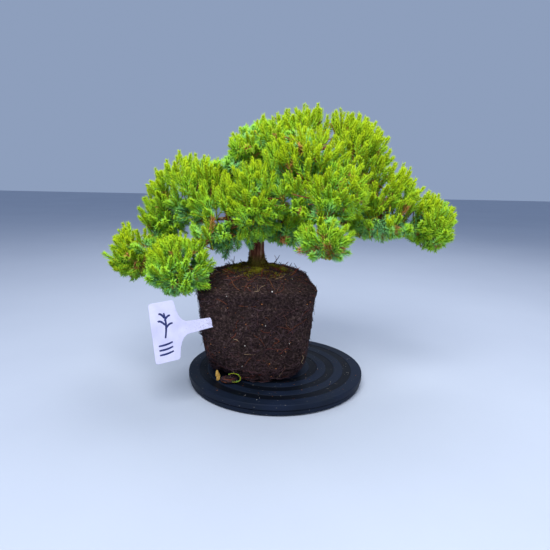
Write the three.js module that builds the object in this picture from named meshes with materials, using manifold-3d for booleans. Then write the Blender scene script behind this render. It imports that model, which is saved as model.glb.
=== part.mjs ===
// A young procumbens juniper with its bare, square root ball, standing on a ball-bearing turntable.
// Millimetres, +Z up. The origin is on the turntable's spin axis, at the surface that it rests on.
import * as THREE from "three";
import { mergeVertices } from "three/addons/utils/BufferGeometryUtils.js";
import Module from "manifold-3d";

const wasm = await Module();
wasm.setup();

// ---- Driving dimensions ---------------------------------------------------------------------

const GAP = 0.3; // between pieces that touch

// Turntable: rubber pad, base, ball bearing and plate, from the bottom up.
const TURNTABLE_RADIUS = 100;
const PAD_THICKNESS = 1.2;
const PAD_INSET = 7; // the pad's edge, in from the plate's rim
const BASE_THICKNESS = 4.9;
const BASE_INSET = 1.5; // the base's rim, in from the plate's rim
const RUNNING_GAP = 0.8; // between the base and the turning plate
const PLATE_THICKNESS = 6.2;
const RIM_BEVEL = 1.2;
const BAND_INSET = 12; // the plate's outer raised band
const BAND_WIDTH = 9.8; // each sunk band, and each raised band between two of them
const BAND_DEPTH = 0.5;
const BAND_COUNT = 4;

const RACE_RADIUS = 60;
const BEARING_BALL_DIAMETER = 4;
const BEARING_BALL_COUNT = 8;
const BEARING_PLAY = 0.4; // around each bearing ball
const CAGE_THICKNESS = 1.6;
const CAGE_WIDTH = 12;
const CAGE_PLAY = 0.8; // at the cage's inner and outer edge

const BOLT_RADIUS = 3;
const BOLT_HEAD_RADIUS = 8;
const BOLT_HEAD_HEIGHT = 1.4;
const BOLT_REACH = 4.2; // into the plate
const WASHER_RADIUS = 10;
const WASHER_THICKNESS = 1;

// Root ball: the shape that its square nursery pot left.
const ROOT_BALL_WIDTH = 126;
const ROOT_BALL_HEIGHT = 104; // to the top edge of its sides
const ROOT_BALL_TAPER = 9; // how much narrower each side is at the foot
const FOOT_ROUNDING = 5; // how much further its foot draws in
const ROOT_BALL_X = -24;
const ROOT_BALL_YAW = THREE.MathUtils.degToRad(5);
const MOUND_HEIGHT = 16; // the top's rise to the trunk
const ROUGHNESS = 1.5; // of the mat of roots
const CRUMBLE_RADIUS = 26; // around each broken lower corner

// Tree.
const TRUNK_RADIUS = 9.8;
const TRUNK_TIP_RADIUS = 2;
const ROOT_FLARE = 2.6; // added to the trunk's radius where it meets the soil
const TRUNK_OFFSET = 2; // to the right of the root ball's middle
const TRUNK_DEPTH = 8; // of the trunk's foot below the mound's top
const LIMB_RADIUS = 3.6;
const LIMB_TIP_RADIUS = 1.2;
const MOSS_HEIGHT = 5;

// Plant label: a T cut from thin plastic sheet.
const LABEL_LENGTH = 60;
const LABEL_WIDTH = 25;
const LABEL_THICKNESS = 0.8;
const LABEL_CORNER = 3;
const LABEL_SHOULDER = 10; // how far along the stake the head's sweep reaches
const LABEL_STAKE_WIDTH = 12;
const LABEL_STAKE_LENGTH = 76;
const LABEL_STAKE_SHOWING = 31; // between the head and the root ball

// ---- Heights of the stack -------------------------------------------------------------------

const BASE_BOTTOM = PAD_THICKNESS + GAP;
const BASE_TOP = BASE_BOTTOM + BASE_THICKNESS;
const PLATE_BOTTOM = BASE_TOP + RUNNING_GAP;
const PLATE_TOP = PLATE_BOTTOM + PLATE_THICKNESS;
const SOIL_FOOT = PLATE_TOP + GAP;
const SOIL_EDGE = SOIL_FOOT + ROOT_BALL_HEIGHT;
const SOIL_TOP = SOIL_EDGE + MOUND_HEIGHT;
const BEARING_HEIGHT = (BASE_TOP + PLATE_BOTTOM) / 2;

// ---- Finishes -------------------------------------------------------------------------------

const FINISHES = {
  rubber: { color: 0x1c1c1d, roughness: 0.95, metalness: 0 },
  plastic: { color: 0x23262c, roughness: 0.5, metalness: 0 },
  steel: { color: 0x9a9da1, roughness: 0.25, metalness: 1 },
  nylon: { color: 0xd9d6cc, roughness: 0.45, metalness: 0 },
  soil: { color: 0x3b2a22, roughness: 1, metalness: 0 },
  root: { color: 0x7b5a3c, roughness: 0.9, metalness: 0 },
  moss: { color: 0x6f7426, roughness: 1, metalness: 0 },
  bark: { color: 0x7c4c36, roughness: 0.9, metalness: 0 },
  foliage: { color: 0x74a12c, roughness: 0.7, metalness: 0 },
  label: { color: 0xdcdcf0, roughness: 0.45, metalness: 0 },
  deadLeaf: { color: 0xa08a45, roughness: 0.8, metalness: 0 },
};

// ---- Solids ---------------------------------------------------------------------------------

/** A closed geometry as a manifold-3d solid, with its shared vertices merged. */
function solidFrom(geometry) {
  const bare = geometry.clone();
  bare.deleteAttribute("normal");
  bare.deleteAttribute("uv");
  const merged = mergeVertices(bare, 1e-3);
  return new wasm.Manifold(
    new wasm.Mesh({
      numProp: 3,
      vertProperties: merged.attributes.position.array,
      triVerts: new Uint32Array(merged.index.array),
    }),
  );
}

/** A manifold-3d solid back as a geometry. */
function geometryFrom(solid) {
  const { vertProperties, triVerts } = solid.getMesh();
  const geometry = new THREE.BufferGeometry();
  geometry.setAttribute("position", new THREE.BufferAttribute(vertProperties, 3));
  geometry.setIndex(new THREE.BufferAttribute(triVerts, 1));
  geometry.computeVertexNormals();
  return geometry;
}

/** A mesh with a name and a finish of its own. */
function piece(name, geometry, finish) {
  const mesh = new THREE.Mesh(geometry, new THREE.MeshStandardMaterial(FINISHES[finish]));
  mesh.name = name;
  return mesh;
}

/** A solid of revolution about Z, from a profile of [radius, height] points. */
function turned(profile, segments) {
  const points = profile.map(([radius, height]) => new THREE.Vector2(radius, height));
  return new THREE.LatheGeometry(points, segments).rotateX(Math.PI / 2);
}

/** A cylinder about Z that spans two heights. */
function upright(radius, bottom, top, segments) {
  const geometry = new THREE.CylinderGeometry(radius, radius, top - bottom, segments);
  return geometry.rotateX(Math.PI / 2).translate(0, 0, (bottom + top) / 2);
}

/** Moves each vertex of a geometry with a function of its position. */
function reshaped(geometry, move) {
  const position = geometry.attributes.position;
  const point = new THREE.Vector3();
  for (let i = 0; i < position.count; i++) {
    point.fromBufferAttribute(position, i);
    move(point);
    position.setXYZ(i, point.x, point.y, point.z);
  }
  return geometry;
}

/** A smooth field of bumps between -1 and 1, with about the given spacing. */
function bumps(point, spacing, seed) {
  const [x, y, z] = point.toArray().map((value) => (value * 2 * Math.PI) / spacing);
  const wave = Math.sin(x + 1.3 * Math.sin(0.7 * y + seed)) * Math.sin(y + 1.7 * Math.sin(0.6 * z - seed));
  return 0.6 * wave + 0.4 * Math.sin(z + 1.1 * Math.sin(0.8 * x + 2 * seed));
}

/** A round bar that follows a curve, with its radius a function of the way along it. */
function bar(curve, radiusAt, sides, steps) {
  const { normals, binormals } = curve.computeFrenetFrames(steps);
  const centres = curve.getSpacedPoints(steps);
  const geometry = new THREE.CylinderGeometry(1, 1, 1, sides, steps);
  return reshaped(geometry, (point) => {
    const along = point.y + 0.5;
    const step = Math.round(along * steps);
    const radius = radiusAt(along);
    const across = normals[step].clone().multiplyScalar(point.z * radius);
    const aside = binormals[step].clone().multiplyScalar(point.x * radius);
    point.copy(centres[step]).add(across).add(aside);
  });
}

// ---- Turntable ------------------------------------------------------------------------------

const ROUND = 32;
const RACE_HALF = BEARING_BALL_DIAMETER / 2 + BEARING_PLAY;
const CAGE_HALF = CAGE_WIDTH / 2 + CAGE_PLAY;
const CAGE_RECESS = CAGE_THICKNESS / 2 + GAP; // from the bearing's height
const BOLT_HOLE_RADIUS = BOLT_RADIUS + GAP;

/** The bearing track as [radius, height] points from inside to out, on the base or on the plate. */
function track(side) {
  const shelf = BEARING_HEIGHT + side * CAGE_RECESS;
  const floor = BEARING_HEIGHT + side * RACE_HALF;
  const face = BEARING_HEIGHT + side * (RUNNING_GAP / 2);
  return [
    [RACE_RADIUS - CAGE_HALF, face],
    [RACE_RADIUS - CAGE_HALF, shelf],
    [RACE_RADIUS - RACE_HALF, shelf],
    [RACE_RADIUS - RACE_HALF, floor],
    [RACE_RADIUS + RACE_HALF, floor],
    [RACE_RADIUS + RACE_HALF, shelf],
    [RACE_RADIUS + CAGE_HALF, shelf],
    [RACE_RADIUS + CAGE_HALF, face],
  ];
}

function makeBase() {
  const rim = TURNTABLE_RADIUS - BASE_INSET;
  const wellRadius = WASHER_RADIUS + 2 * GAP;
  const wellTop = BASE_BOTTOM + BOLT_HEAD_HEIGHT + WASHER_THICKNESS + 3 * GAP;
  const profile = [
    [wellRadius, BASE_BOTTOM],
    [rim - RIM_BEVEL, BASE_BOTTOM],
    [rim, BASE_BOTTOM + RIM_BEVEL],
    [rim, BASE_TOP],
    ...track(-1).reverse(),
    [BOLT_HOLE_RADIUS, BASE_TOP],
    [BOLT_HOLE_RADIUS, wellTop],
    [wellRadius, wellTop],
    [wellRadius, BASE_BOTTOM],
  ];
  return piece("base_plate", turned(profile, ROUND), "plastic");
}

/** The plate's top, from the rim to the middle, with its sunk bands. */
function bandedTop() {
  const points = [];
  for (let band = 0; band < BAND_COUNT; band++) {
    const outer = TURNTABLE_RADIUS - BAND_INSET - 2 * BAND_WIDTH * band;
    const inner = outer - BAND_WIDTH;
    points.push([outer, PLATE_TOP], [outer - BAND_DEPTH, PLATE_TOP - BAND_DEPTH]);
    points.push([inner + BAND_DEPTH, PLATE_TOP - BAND_DEPTH], [inner, PLATE_TOP]);
  }
  return points;
}

function makePlate() {
  const holeTop = PLATE_BOTTOM + BOLT_REACH + GAP;
  const profile = [
    [0, holeTop],
    [BOLT_HOLE_RADIUS, holeTop],
    [BOLT_HOLE_RADIUS, PLATE_BOTTOM],
    ...track(1),
    [TURNTABLE_RADIUS, PLATE_BOTTOM],
    [TURNTABLE_RADIUS, PLATE_TOP - RIM_BEVEL],
    [TURNTABLE_RADIUS - RIM_BEVEL, PLATE_TOP],
    ...bandedTop(),
    [0, PLATE_TOP],
  ];
  return piece("turntable_plate", turned(profile, ROUND), "plastic");
}

function makeCage() {
  const inner = RACE_RADIUS - CAGE_WIDTH / 2;
  const outer = RACE_RADIUS + CAGE_WIDTH / 2;
  const bottom = BEARING_HEIGHT - CAGE_THICKNESS / 2;
  const top = BEARING_HEIGHT + CAGE_THICKNESS / 2;
  const ring = [
    [inner, bottom],
    [outer, bottom],
    [outer, top],
    [inner, top],
    [inner, bottom],
  ];
  let cage = solidFrom(turned(ring, ROUND));
  for (const centre of bearingCentres()) {
    const window = upright(RACE_HALF, bottom - GAP, top + GAP, 8);
    cage = cage.subtract(solidFrom(window.translate(centre.x, centre.y, 0)));
  }
  return piece("ball_cage", geometryFrom(cage), "nylon");
}

function bearingCentres() {
  return Array.from({ length: BEARING_BALL_COUNT }, (_, index) => {
    const angle = (2 * Math.PI * index) / BEARING_BALL_COUNT;
    return new THREE.Vector3(RACE_RADIUS * Math.cos(angle), RACE_RADIUS * Math.sin(angle), BEARING_HEIGHT);
  });
}

function makeBearingBalls() {
  return bearingCentres().map((centre, index) => {
    const geometry = new THREE.IcosahedronGeometry(BEARING_BALL_DIAMETER / 2, 1);
    const ball = piece(`bearing_ball_${String(index + 1).padStart(2, "0")}`, geometry, "steel");
    ball.position.copy(centre);
    return ball;
  });
}

function makeBolt() {
  const headBottom = BASE_BOTTOM;
  const headTop = headBottom + BOLT_HEAD_HEIGHT;
  const tip = PLATE_BOTTOM + BOLT_REACH;
  const profile = [
    [0, headBottom],
    [BOLT_HEAD_RADIUS, headBottom],
    [BOLT_HEAD_RADIUS, headTop],
    [BOLT_RADIUS, headTop],
    [BOLT_RADIUS, tip],
    [0, tip],
  ];
  return piece("centre_bolt", turned(profile, 16), "steel");
}

function makeWasher() {
  const bottom = BASE_BOTTOM + BOLT_HEAD_HEIGHT + GAP;
  const top = bottom + WASHER_THICKNESS;
  const inner = BOLT_RADIUS + GAP;
  const ring = [
    [inner, bottom],
    [WASHER_RADIUS, bottom],
    [WASHER_RADIUS, top],
    [inner, top],
    [inner, bottom],
  ];
  return piece("bolt_washer", turned(ring, 16), "steel");
}

function makeTurntable() {
  const turntable = new THREE.Group();
  const pad = upright(TURNTABLE_RADIUS - PAD_INSET, 0, PAD_THICKNESS, ROUND);
  turntable.add(piece("non_slip_pad", pad, "rubber"));
  turntable.add(makeBase(), makeCage(), ...makeBearingBalls(), makeBolt(), makeWasher(), makePlate());
  return turntable;
}

// ---- Wood -----------------------------------------------------------------------------------

// The tree stands at the top of the mound. Its heights and places are measured from there.
const FOOT = new THREE.Vector3(ROOT_BALL_X + TRUNK_OFFSET, 0, SOIL_TOP);

/** A point given from the tree's foot, in the part's own frame. */
function fromFoot(x, y, z) {
  return new THREE.Vector3(x, y, z).add(FOOT);
}

const TRUNK_LINE = new THREE.CatmullRomCurve3([
  fromFoot(0, 0, -TRUNK_DEPTH),
  fromFoot(-1.5, 0, 18),
  fromFoot(-0.5, 1, 36),
  fromFoot(5, 2, 57),
  fromFoot(17, 4, 78),
  fromFoot(26, 6, 98),
  fromFoot(38, 8, 142),
]);

function trunkSolid(grow) {
  const radiusAt = (along) => {
    const flare = ROOT_FLARE * Math.exp(-along * 14);
    return THREE.MathUtils.lerp(TRUNK_RADIUS, TRUNK_TIP_RADIUS, along ** 0.9) + flare + grow;
  };
  return solidFrom(bar(TRUNK_LINE, radiusAt, 10, 12));
}

// Each pad of foliage: its centre from the tree's foot, and its half sizes.
const FOLIAGE = {
  apex: { at: [44, 8, 151], half: [42, 32, 20] },
  upper_left: { at: [-8, 12, 130], half: [25, 30, 21] },
  upper_right: { at: [99, 5, 132], half: [38, 36, 35] },
  crown_front: { at: [50, -38, 121], half: [38, 30, 26] },
  left_upper: { at: [-68, 0, 92], half: [37, 34, 29] },
  left_mid: { at: [-101, 5, 60], half: [29, 32, 36] },
  left_tip: { at: [-134, -15, 14], half: [26, 30, 32] },
  left_front_low: { at: [-77, -62, 10], half: [34, 26, 33] },
  left_inner: { at: [-36, -25, 52], half: [31, 28, 37] },
  centre_front: { at: [0, -51, 76], half: [30, 25, 39] },
  right_front: { at: [70, -58, 86], half: [39, 26, 28] },
  right_hanging: { at: [66, -78, 41], half: [26, 22, 24] },
  right_outer: { at: [138, -8, 82], half: [33, 34, 35] },
  right_tip: { at: [190, -5, 51], half: [27, 28, 31] },
  right_low: { at: [128, -20, 48], half: [34, 28, 16] },
  centre_low: { at: [25, -15, 45], half: [32, 26, 23] },
  back_left: { at: [-46, 62, 82], half: [42, 30, 29] },
  back_centre: { at: [32, 68, 116], half: [42, 30, 29] },
  back_right: { at: [100, 60, 94], half: [39, 30, 29] },
};

// Each limb: where it leaves the trunk, as a share of its length, and the pads that it runs through.
const LIMBS = {
  left_low: { leaves: 0.41, through: ["left_front_low", "left_tip"], sag: 9 },
  back_left: { leaves: 0.32, through: ["back_left"], sag: 6 },
  right_low: { leaves: 0.42, through: ["right_low", "right_outer", "right_tip"], sag: 0 },
  left_mid: { leaves: 0.5, through: ["left_inner", "left_mid"], sag: 8 },
  back_right: { leaves: 0.52, through: ["back_right"], sag: 5 },
  centre_front: { leaves: 0.56, through: ["centre_front"], sag: 2 },
  right_front: { leaves: 0.6, through: ["right_front", "right_hanging"], sag: 6 },
  left_high: { leaves: 0.66, through: ["left_upper"], sag: 8 },
  back_centre: { leaves: 0.7, through: ["back_centre"], sag: 4 },
  right_high: { leaves: 0.76, through: ["upper_right"], sag: 8 },
  crown_front: { leaves: 0.82, through: ["crown_front"], sag: 3 },
  upper_left: { leaves: 0.86, through: ["upper_left"], sag: 4 },
};

/** A limb's centre line: off the trunk, arched by its sag, then from pad to pad. */
function limbLine({ leaves, through, sag }) {
  const start = TRUNK_LINE.getPointAt(leaves);
  const pads = through.map((pad) => fromFoot(...FOLIAGE[pad].at));
  const middle = start.clone().lerp(pads[0], 0.5);
  middle.z += sag;
  return new THREE.CatmullRomCurve3([start, middle, ...pads]);
}

function limbSolid(limb, grow) {
  const radiusAt = (along) => THREE.MathUtils.lerp(LIMB_RADIUS, LIMB_TIP_RADIUS, along) + grow;
  return solidFrom(bar(limbLine(limb), radiusAt, 6, 3 + 2 * limb.through.length));
}

/** A lumpy ellipsoid of foliage. */
function padSolid({ at, half }, seed, grow) {
  const geometry = new THREE.IcosahedronGeometry(1, 2);
  const centre = fromFoot(...at);
  const reach = new THREE.Vector3(...half).addScalar(grow);
  return solidFrom(
    reshaped(geometry, (point) => {
      const swell = 1 + 0.05 * bumps(point, 1.1, seed);
      point.multiply(reach).multiplyScalar(swell).add(centre);
    }),
  );
}

/** What the next solids keep clear of: the solids so far, each grown by the gap. */
const keepOut = [];

function cutClear(solid) {
  return keepOut.reduce((left, other) => left.subtract(other), solid);
}

function makeTree() {
  const tree = new THREE.Group();
  tree.add(piece("trunk", geometryFrom(trunkSolid(0)), "bark"));
  keepOut.push(trunkSolid(GAP));
  for (const [name, limb] of Object.entries(LIMBS)) {
    tree.add(piece(`limb_${name}`, geometryFrom(cutClear(limbSolid(limb, 0))), "bark"));
    keepOut.push(limbSolid(limb, GAP));
  }
  keepOut.push(rootBallSolid(GAP));
  Object.entries(FOLIAGE).forEach(([name, pad], index) => {
    tree.add(piece(`foliage_${name}`, geometryFrom(cutClear(padSolid(pad, index, 0))), "foliage"));
    keepOut.push(padSolid(pad, index, 2 * GAP));
  });
  return tree;
}

// ---- Plant label ----------------------------------------------------------------------------

/** The label's outline: a head along Y that sweeps into a stake along X, which narrows to a point. */
function labelOutline(grow) {
  const half = LABEL_LENGTH / 2 + grow;
  const left = -LABEL_WIDTH - grow;
  const right = grow;
  const shoulder = right + LABEL_SHOULDER;
  const stake = LABEL_STAKE_WIDTH / 2 + grow;
  const tip = LABEL_STAKE_LENGTH + grow;
  const outline = new THREE.Shape();
  outline.moveTo(left + LABEL_CORNER, -half);
  outline.lineTo(right - LABEL_CORNER, -half);
  outline.quadraticCurveTo(right, -half, right, -half + LABEL_CORNER);
  outline.quadraticCurveTo(right + 0.2 * LABEL_SHOULDER, -1.5 * stake, shoulder, -1.1 * stake);
  outline.lineTo(0.7 * tip, -0.7 * stake);
  outline.lineTo(tip, 0);
  outline.lineTo(0.7 * tip, 0.7 * stake);
  outline.lineTo(shoulder, 1.1 * stake);
  outline.quadraticCurveTo(right + 0.2 * LABEL_SHOULDER, 1.5 * stake, right, half - LABEL_CORNER);
  outline.quadraticCurveTo(right, half, right - LABEL_CORNER, half);
  outline.lineTo(left + LABEL_CORNER, half);
  outline.quadraticCurveTo(left, half, left, half - LABEL_CORNER);
  outline.lineTo(left, -half + LABEL_CORNER);
  outline.quadraticCurveTo(left, -half, left + LABEL_CORNER, -half);
  return outline;
}

function labelGeometry(grow) {
  const depth = LABEL_THICKNESS + 2 * grow;
  const settings = { depth, bevelEnabled: false, curveSegments: 4 };
  return new THREE.ExtrudeGeometry(labelOutline(grow), settings).translate(0, 0, -depth / 2);
}

const LABEL_YAW = THREE.MathUtils.degToRad(30);
const LABEL_RISE = THREE.MathUtils.degToRad(4);
const LABEL_LEAN = THREE.MathUtils.degToRad(-6);
const LABEL_ENTRY_HEIGHT = 70; // of the stake's entry, above the root ball's foot
const LABEL_ENTRY_SHARE = -0.87; // across the root ball's front, from its middle

/** The label, with its stake pushed into the front of the root ball near its left edge. */
function makeLabel() {
  const label = piece("plant_label", labelGeometry(0), "label");
  label.rotation.set(Math.PI / 2 + LABEL_LEAN, -LABEL_RISE, LABEL_YAW, "ZYX");
  const half = ROOT_BALL_WIDTH / 2 - ROOT_BALL_TAPER / 3;
  const entry = new THREE.Vector3(LABEL_ENTRY_SHARE * half, -half, 0);
  entry.applyAxisAngle(new THREE.Vector3(0, 0, 1), ROOT_BALL_YAW);
  entry.add(new THREE.Vector3(ROOT_BALL_X, 0, SOIL_FOOT + LABEL_ENTRY_HEIGHT));
  const inward = new THREE.Vector3(1, 0, 0).applyEuler(label.rotation);
  label.position.copy(entry).addScaledVector(inward, -LABEL_STAKE_SHOWING);
  label.updateMatrixWorld(true);
  return label;
}

// ---- Root ball ------------------------------------------------------------------------------

// Each lower corner that has crumbled: its direction from the middle, and how far it is gone.
const CRUMBLES = [
  { side: [-1, -1], depth: 14 },
  { side: [1, -1], depth: 6 },
  { side: [1, 1], depth: 8 },
  { side: [-1, 1], depth: 12 },
];

/** The root ball's surface, grown by a margin: a tapered square block with a mounded top. */
function rootBallSolid(grow) {
  const geometry = new THREE.BoxGeometry(2, 2, 2, 8, 8, 7);
  const axis = new THREE.Vector3(0, 0, 1);
  const move = (point) => {
    const height = (point.z + 1) / 2;
    const onTop = point.z > 0.999;
    const spread = Math.max(Math.abs(point.x), Math.abs(point.y));
    const roundness = (Math.abs(point.x) ** 8 + Math.abs(point.y) ** 8) ** (1 / 8) || 1;
    const rounding = FOOT_ROUNDING * Math.max(0, 1 - 5 * height) ** 2;
    const half = ROOT_BALL_WIDTH / 2 - ROOT_BALL_TAPER * (1 - height) - rounding;
    const outline = (half * spread) / roundness;
    point.x *= outline;
    point.y *= outline;
    const mound = onTop ? MOUND_HEIGHT * (1 - spread ** 2) ** 1.2 : 0;
    const sag = onTop ? -3 * spread ** 6 : 0;
    point.z = ROOT_BALL_HEIGHT * height + mound + sag;
    const outward = new THREE.Vector3(point.x, point.y, 0.9 * (point.z - ROOT_BALL_HEIGHT / 2)).normalize();
    if (height > 0.01) point.addScaledVector(outward, ROUGHNESS * bumps(point, 31, 2));
    for (const { side, depth } of CRUMBLES) {
      const corner = new THREE.Vector3(side[0] * half, side[1] * half, 0);
      const near = Math.exp(-((corner.distanceTo(point) / CRUMBLE_RADIUS) ** 2));
      point.x -= side[0] * depth * 0.6 * near;
      point.y -= side[1] * depth * 0.6 * near;
      point.z += depth * near * (1 - height) * spread ** 2;
    }
    point.addScaledVector(outward, grow);
    point.applyAxisAngle(axis, ROOT_BALL_YAW);
    point.x += ROOT_BALL_X;
    point.z += SOIL_FOOT;
  };
  return solidFrom(reshaped(geometry, move));
}

function makeRootBall(label) {
  const slot = labelGeometry(GAP).applyMatrix4(label.matrixWorld);
  const ball = rootBallSolid(0).subtract(solidFrom(slot)).subtract(trunkSolid(GAP));
  return piece("root_ball", geometryFrom(ball), "soil");
}

// Cushions of moss on the mound: each centre's place from the trunk, and its half sizes across.
const MOSS = {
  moss_left: { at: [-22, -8], half: [13, 11] },
  moss_front: { at: [4, -24], half: [15, 9] },
  moss_right: { at: [24, -2], half: [10, 12] },
  moss_back: { at: [-6, 24], half: [16, 10] },
};

/** The mound's height at a place given from the root ball's middle. */
function moundHeight(x, y) {
  const spread = Math.hypot(x, y) / (ROOT_BALL_WIDTH / 2);
  return SOIL_EDGE + MOUND_HEIGHT * Math.max(0, 1 - spread ** 2) ** 1.2;
}

function makeMoss() {
  const soil = rootBallSolid(GAP);
  const trunk = trunkSolid(GAP);
  return Object.entries(MOSS).map(([name, { at, half }]) => {
    const dome = new THREE.SphereGeometry(1, 9, 6).rotateX(Math.PI / 2);
    dome.scale(half[0], half[1], MOSS_HEIGHT);
    dome.translate(FOOT.x + at[0], at[1], moundHeight(at[0] + TRUNK_OFFSET, at[1]));
    const cushion = solidFrom(dome).subtract(soil).subtract(trunk);
    return piece(name, geometryFrom(cushion), "moss");
  });
}

// ---- Loose bits on the plate ----------------------------------------------------------------

const CLUMP_HALF = 8;
const LEAF_LENGTH = 11;
const LEAF_THICKNESS = 1;
const FRONT_LEFT = new THREE.Vector3(ROOT_BALL_X - ROOT_BALL_WIDTH / 2, -ROOT_BALL_WIDTH / 2, SOIL_FOOT);
const CLUMP_PLACE = new THREE.Vector3(37, 12, 0.3 * CLUMP_HALF); // from the front left corner
const LEAF_PLACE = new THREE.Vector3(24, 16, 0);

/** A clump of peat and root that has dropped off the front left corner of the root ball. */
function makeClump() {
  const dome = new THREE.IcosahedronGeometry(CLUMP_HALF, 1);
  dome.scale(1, 0.7, 0.6);
  const clump = solidFrom(
    reshaped(dome, (point) => {
      point.multiplyScalar(1 + 0.12 * bumps(point, CLUMP_HALF, 5));
      point.z = Math.max(point.z, -0.3 * CLUMP_HALF);
      point.add(FRONT_LEFT).add(CLUMP_PLACE);
    }),
  );
  return piece("soil_clump", geometryFrom(clump.subtract(rootBallSolid(GAP))), "soil");
}

/** A dead leaf scale that stands on the plate and leans towards the root ball. */
function makeFallenLeaf() {
  const outline = new THREE.Shape();
  outline.moveTo(0, 0);
  outline.quadraticCurveTo(0.45 * LEAF_LENGTH, 0.4 * LEAF_LENGTH, 0.1 * LEAF_LENGTH, LEAF_LENGTH);
  outline.quadraticCurveTo(-0.45 * LEAF_LENGTH, 0.6 * LEAF_LENGTH, 0, 0);
  const settings = { depth: LEAF_THICKNESS, bevelEnabled: false, curveSegments: 4 };
  const leaf = piece("fallen_leaf", new THREE.ExtrudeGeometry(outline, settings), "deadLeaf");
  leaf.position.copy(FRONT_LEFT).add(LEAF_PLACE);
  leaf.rotation.x = THREE.MathUtils.degToRad(65);
  return leaf;
}

// ---- The whole part -------------------------------------------------------------------------

const part = new THREE.Group();
const label = makeLabel();
part.add(makeTurntable(), makeTree(), label, makeRootBall(label), ...makeMoss());
part.add(makeClump(), makeFallenLeaf());

export default part;
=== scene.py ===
"""A young procumbens juniper with its bare, square root ball, on a ball-bearing turntable.

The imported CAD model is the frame. Each class below makes one sub-assembly around it, in metres, and
rides its pieces on the CAD bodies. Sizes that end in _mm are millimetres.
"""
import logging
import math
from dataclasses import dataclass, field
from enum import Enum
from functools import lru_cache

import bmesh
import bpy
import numpy as np
from mathutils import Matrix, Vector


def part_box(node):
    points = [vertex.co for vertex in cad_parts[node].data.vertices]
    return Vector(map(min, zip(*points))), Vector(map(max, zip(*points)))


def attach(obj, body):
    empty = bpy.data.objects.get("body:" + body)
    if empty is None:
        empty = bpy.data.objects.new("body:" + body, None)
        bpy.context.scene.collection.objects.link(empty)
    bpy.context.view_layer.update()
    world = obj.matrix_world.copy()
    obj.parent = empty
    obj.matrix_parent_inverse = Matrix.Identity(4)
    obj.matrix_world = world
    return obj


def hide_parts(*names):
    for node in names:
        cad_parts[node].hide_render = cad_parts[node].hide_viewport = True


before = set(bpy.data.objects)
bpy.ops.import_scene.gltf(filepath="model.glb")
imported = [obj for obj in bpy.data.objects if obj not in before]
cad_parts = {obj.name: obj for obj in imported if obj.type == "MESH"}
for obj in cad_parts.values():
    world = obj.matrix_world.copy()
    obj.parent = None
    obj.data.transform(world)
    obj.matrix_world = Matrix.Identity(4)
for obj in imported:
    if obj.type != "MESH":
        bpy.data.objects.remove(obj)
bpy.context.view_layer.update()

MM = 0.001
TURN = 2 * np.pi
UP = np.array([0.0, 0.0, 1.0])
GOLDEN_ANGLE = np.pi * (3 - 5**0.5)
PALETTE_SPREAD = 0.012  # how wide a strip of its palette a small piece covers, either side
LOG = logging.getLogger("juniper")


class Body(str, Enum):
    """The CAD bodies that pieces ride on."""

    BASE = "base"
    CAGE = "cage"
    PLATE = "plate"


# ---- Arrays and surfaces ------------------------------------------------------------------------


def unit(vectors: np.ndarray) -> np.ndarray:
    """Vectors along the last axis, each divided by its length."""
    length = np.linalg.norm(vectors, axis=-1, keepdims=True)
    return vectors / np.maximum(length, 1e-12)


def around(angle: np.ndarray) -> np.ndarray:
    """Unit vectors at angles about Z, as x and y along a new last axis."""
    return np.stack([np.cos(angle), np.sin(angle)], axis=-1)


def curved(start: np.ndarray, pull: np.ndarray, end: np.ndarray, shares: np.ndarray) -> np.ndarray:
    """Quadratic curves: three points weighted by (1 - t) squared, 2t(1 - t) and t squared.

    Args:
        start: where each curve starts.
        pull: the point that it bends towards.
        end: where it ends.
        shares: the values of t, the same for every curve.

    Returns:
        The points, as curves by shares by coordinates.
    """
    t = shares[None, :, None]
    return (1 - t) ** 2 * start[:, None] + 2 * t * (1 - t) * pull[:, None] + t**2 * end[:, None]


def smoothed(paths: np.ndarray) -> np.ndarray:
    """Paths whose points are the mean of three in a row, two points fewer than before."""
    return (paths[:, :-2] + paths[:, 1:-1] + paths[:, 2:]) / 3


def noise(points: np.ndarray, cell_mm: float, seed: int) -> np.ndarray:
    """Smooth noise: random values on a cubic lattice, blended between its corners.

    Args:
        points: positions in metres, one row each.
        cell_mm: the lattice spacing.
        seed: picks the random values.

    Returns:
        One value from -1 to 1 for each point.
    """
    primes = np.array([73856093, 19349663, 83492791])
    scaled = points / (cell_mm * MM)
    whole = np.floor(scaled).astype(np.int64)
    part = scaled - whole
    part = part * part * (3 - 2 * part)
    total = np.zeros(len(points))
    for corner in range(8):
        offset = np.array([corner & 1, corner >> 1 & 1, corner >> 2 & 1])
        mixed = np.bitwise_xor.reduce((whole + offset) * primes, axis=1) ^ (seed * 40503 + 977)
        mixed = (mixed ^ (mixed >> 13)) * 1274126177
        value = ((mixed ^ (mixed >> 16)) & 0xFFFF) / 32767.5 - 1
        total += value * np.prod(np.where(offset == 1, part, 1 - part), axis=1)
    return total


def fractal(points: np.ndarray, cell_mm: float, octaves: int, seed: int) -> np.ndarray:
    """Noise summed over octaves, each half the size and half the strength of the last.

    Args:
        points: positions in metres, one row each.
        cell_mm: the largest lattice spacing.
        octaves: how many layers are summed.
        seed: picks the random values.

    Returns:
        One value for each point, mostly within -1 to 1.
    """
    layers = [0.5**k * noise(points, cell_mm * 0.5**k, seed + 31 * k) for k in range(octaves)]
    return np.sum(layers, axis=0) / (2 - 0.5 ** (octaves - 1))


def placed(name: str, data: bpy.types.ID) -> bpy.types.Object:
    """A new object for a mesh, a light or a camera, linked to the scene.

    Args:
        name: the object's name.
        data: the mesh, light or camera.

    Returns:
        The object.
    """
    made = bpy.data.objects.new(name, data)
    bpy.context.scene.collection.objects.link(made)
    return made


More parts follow.
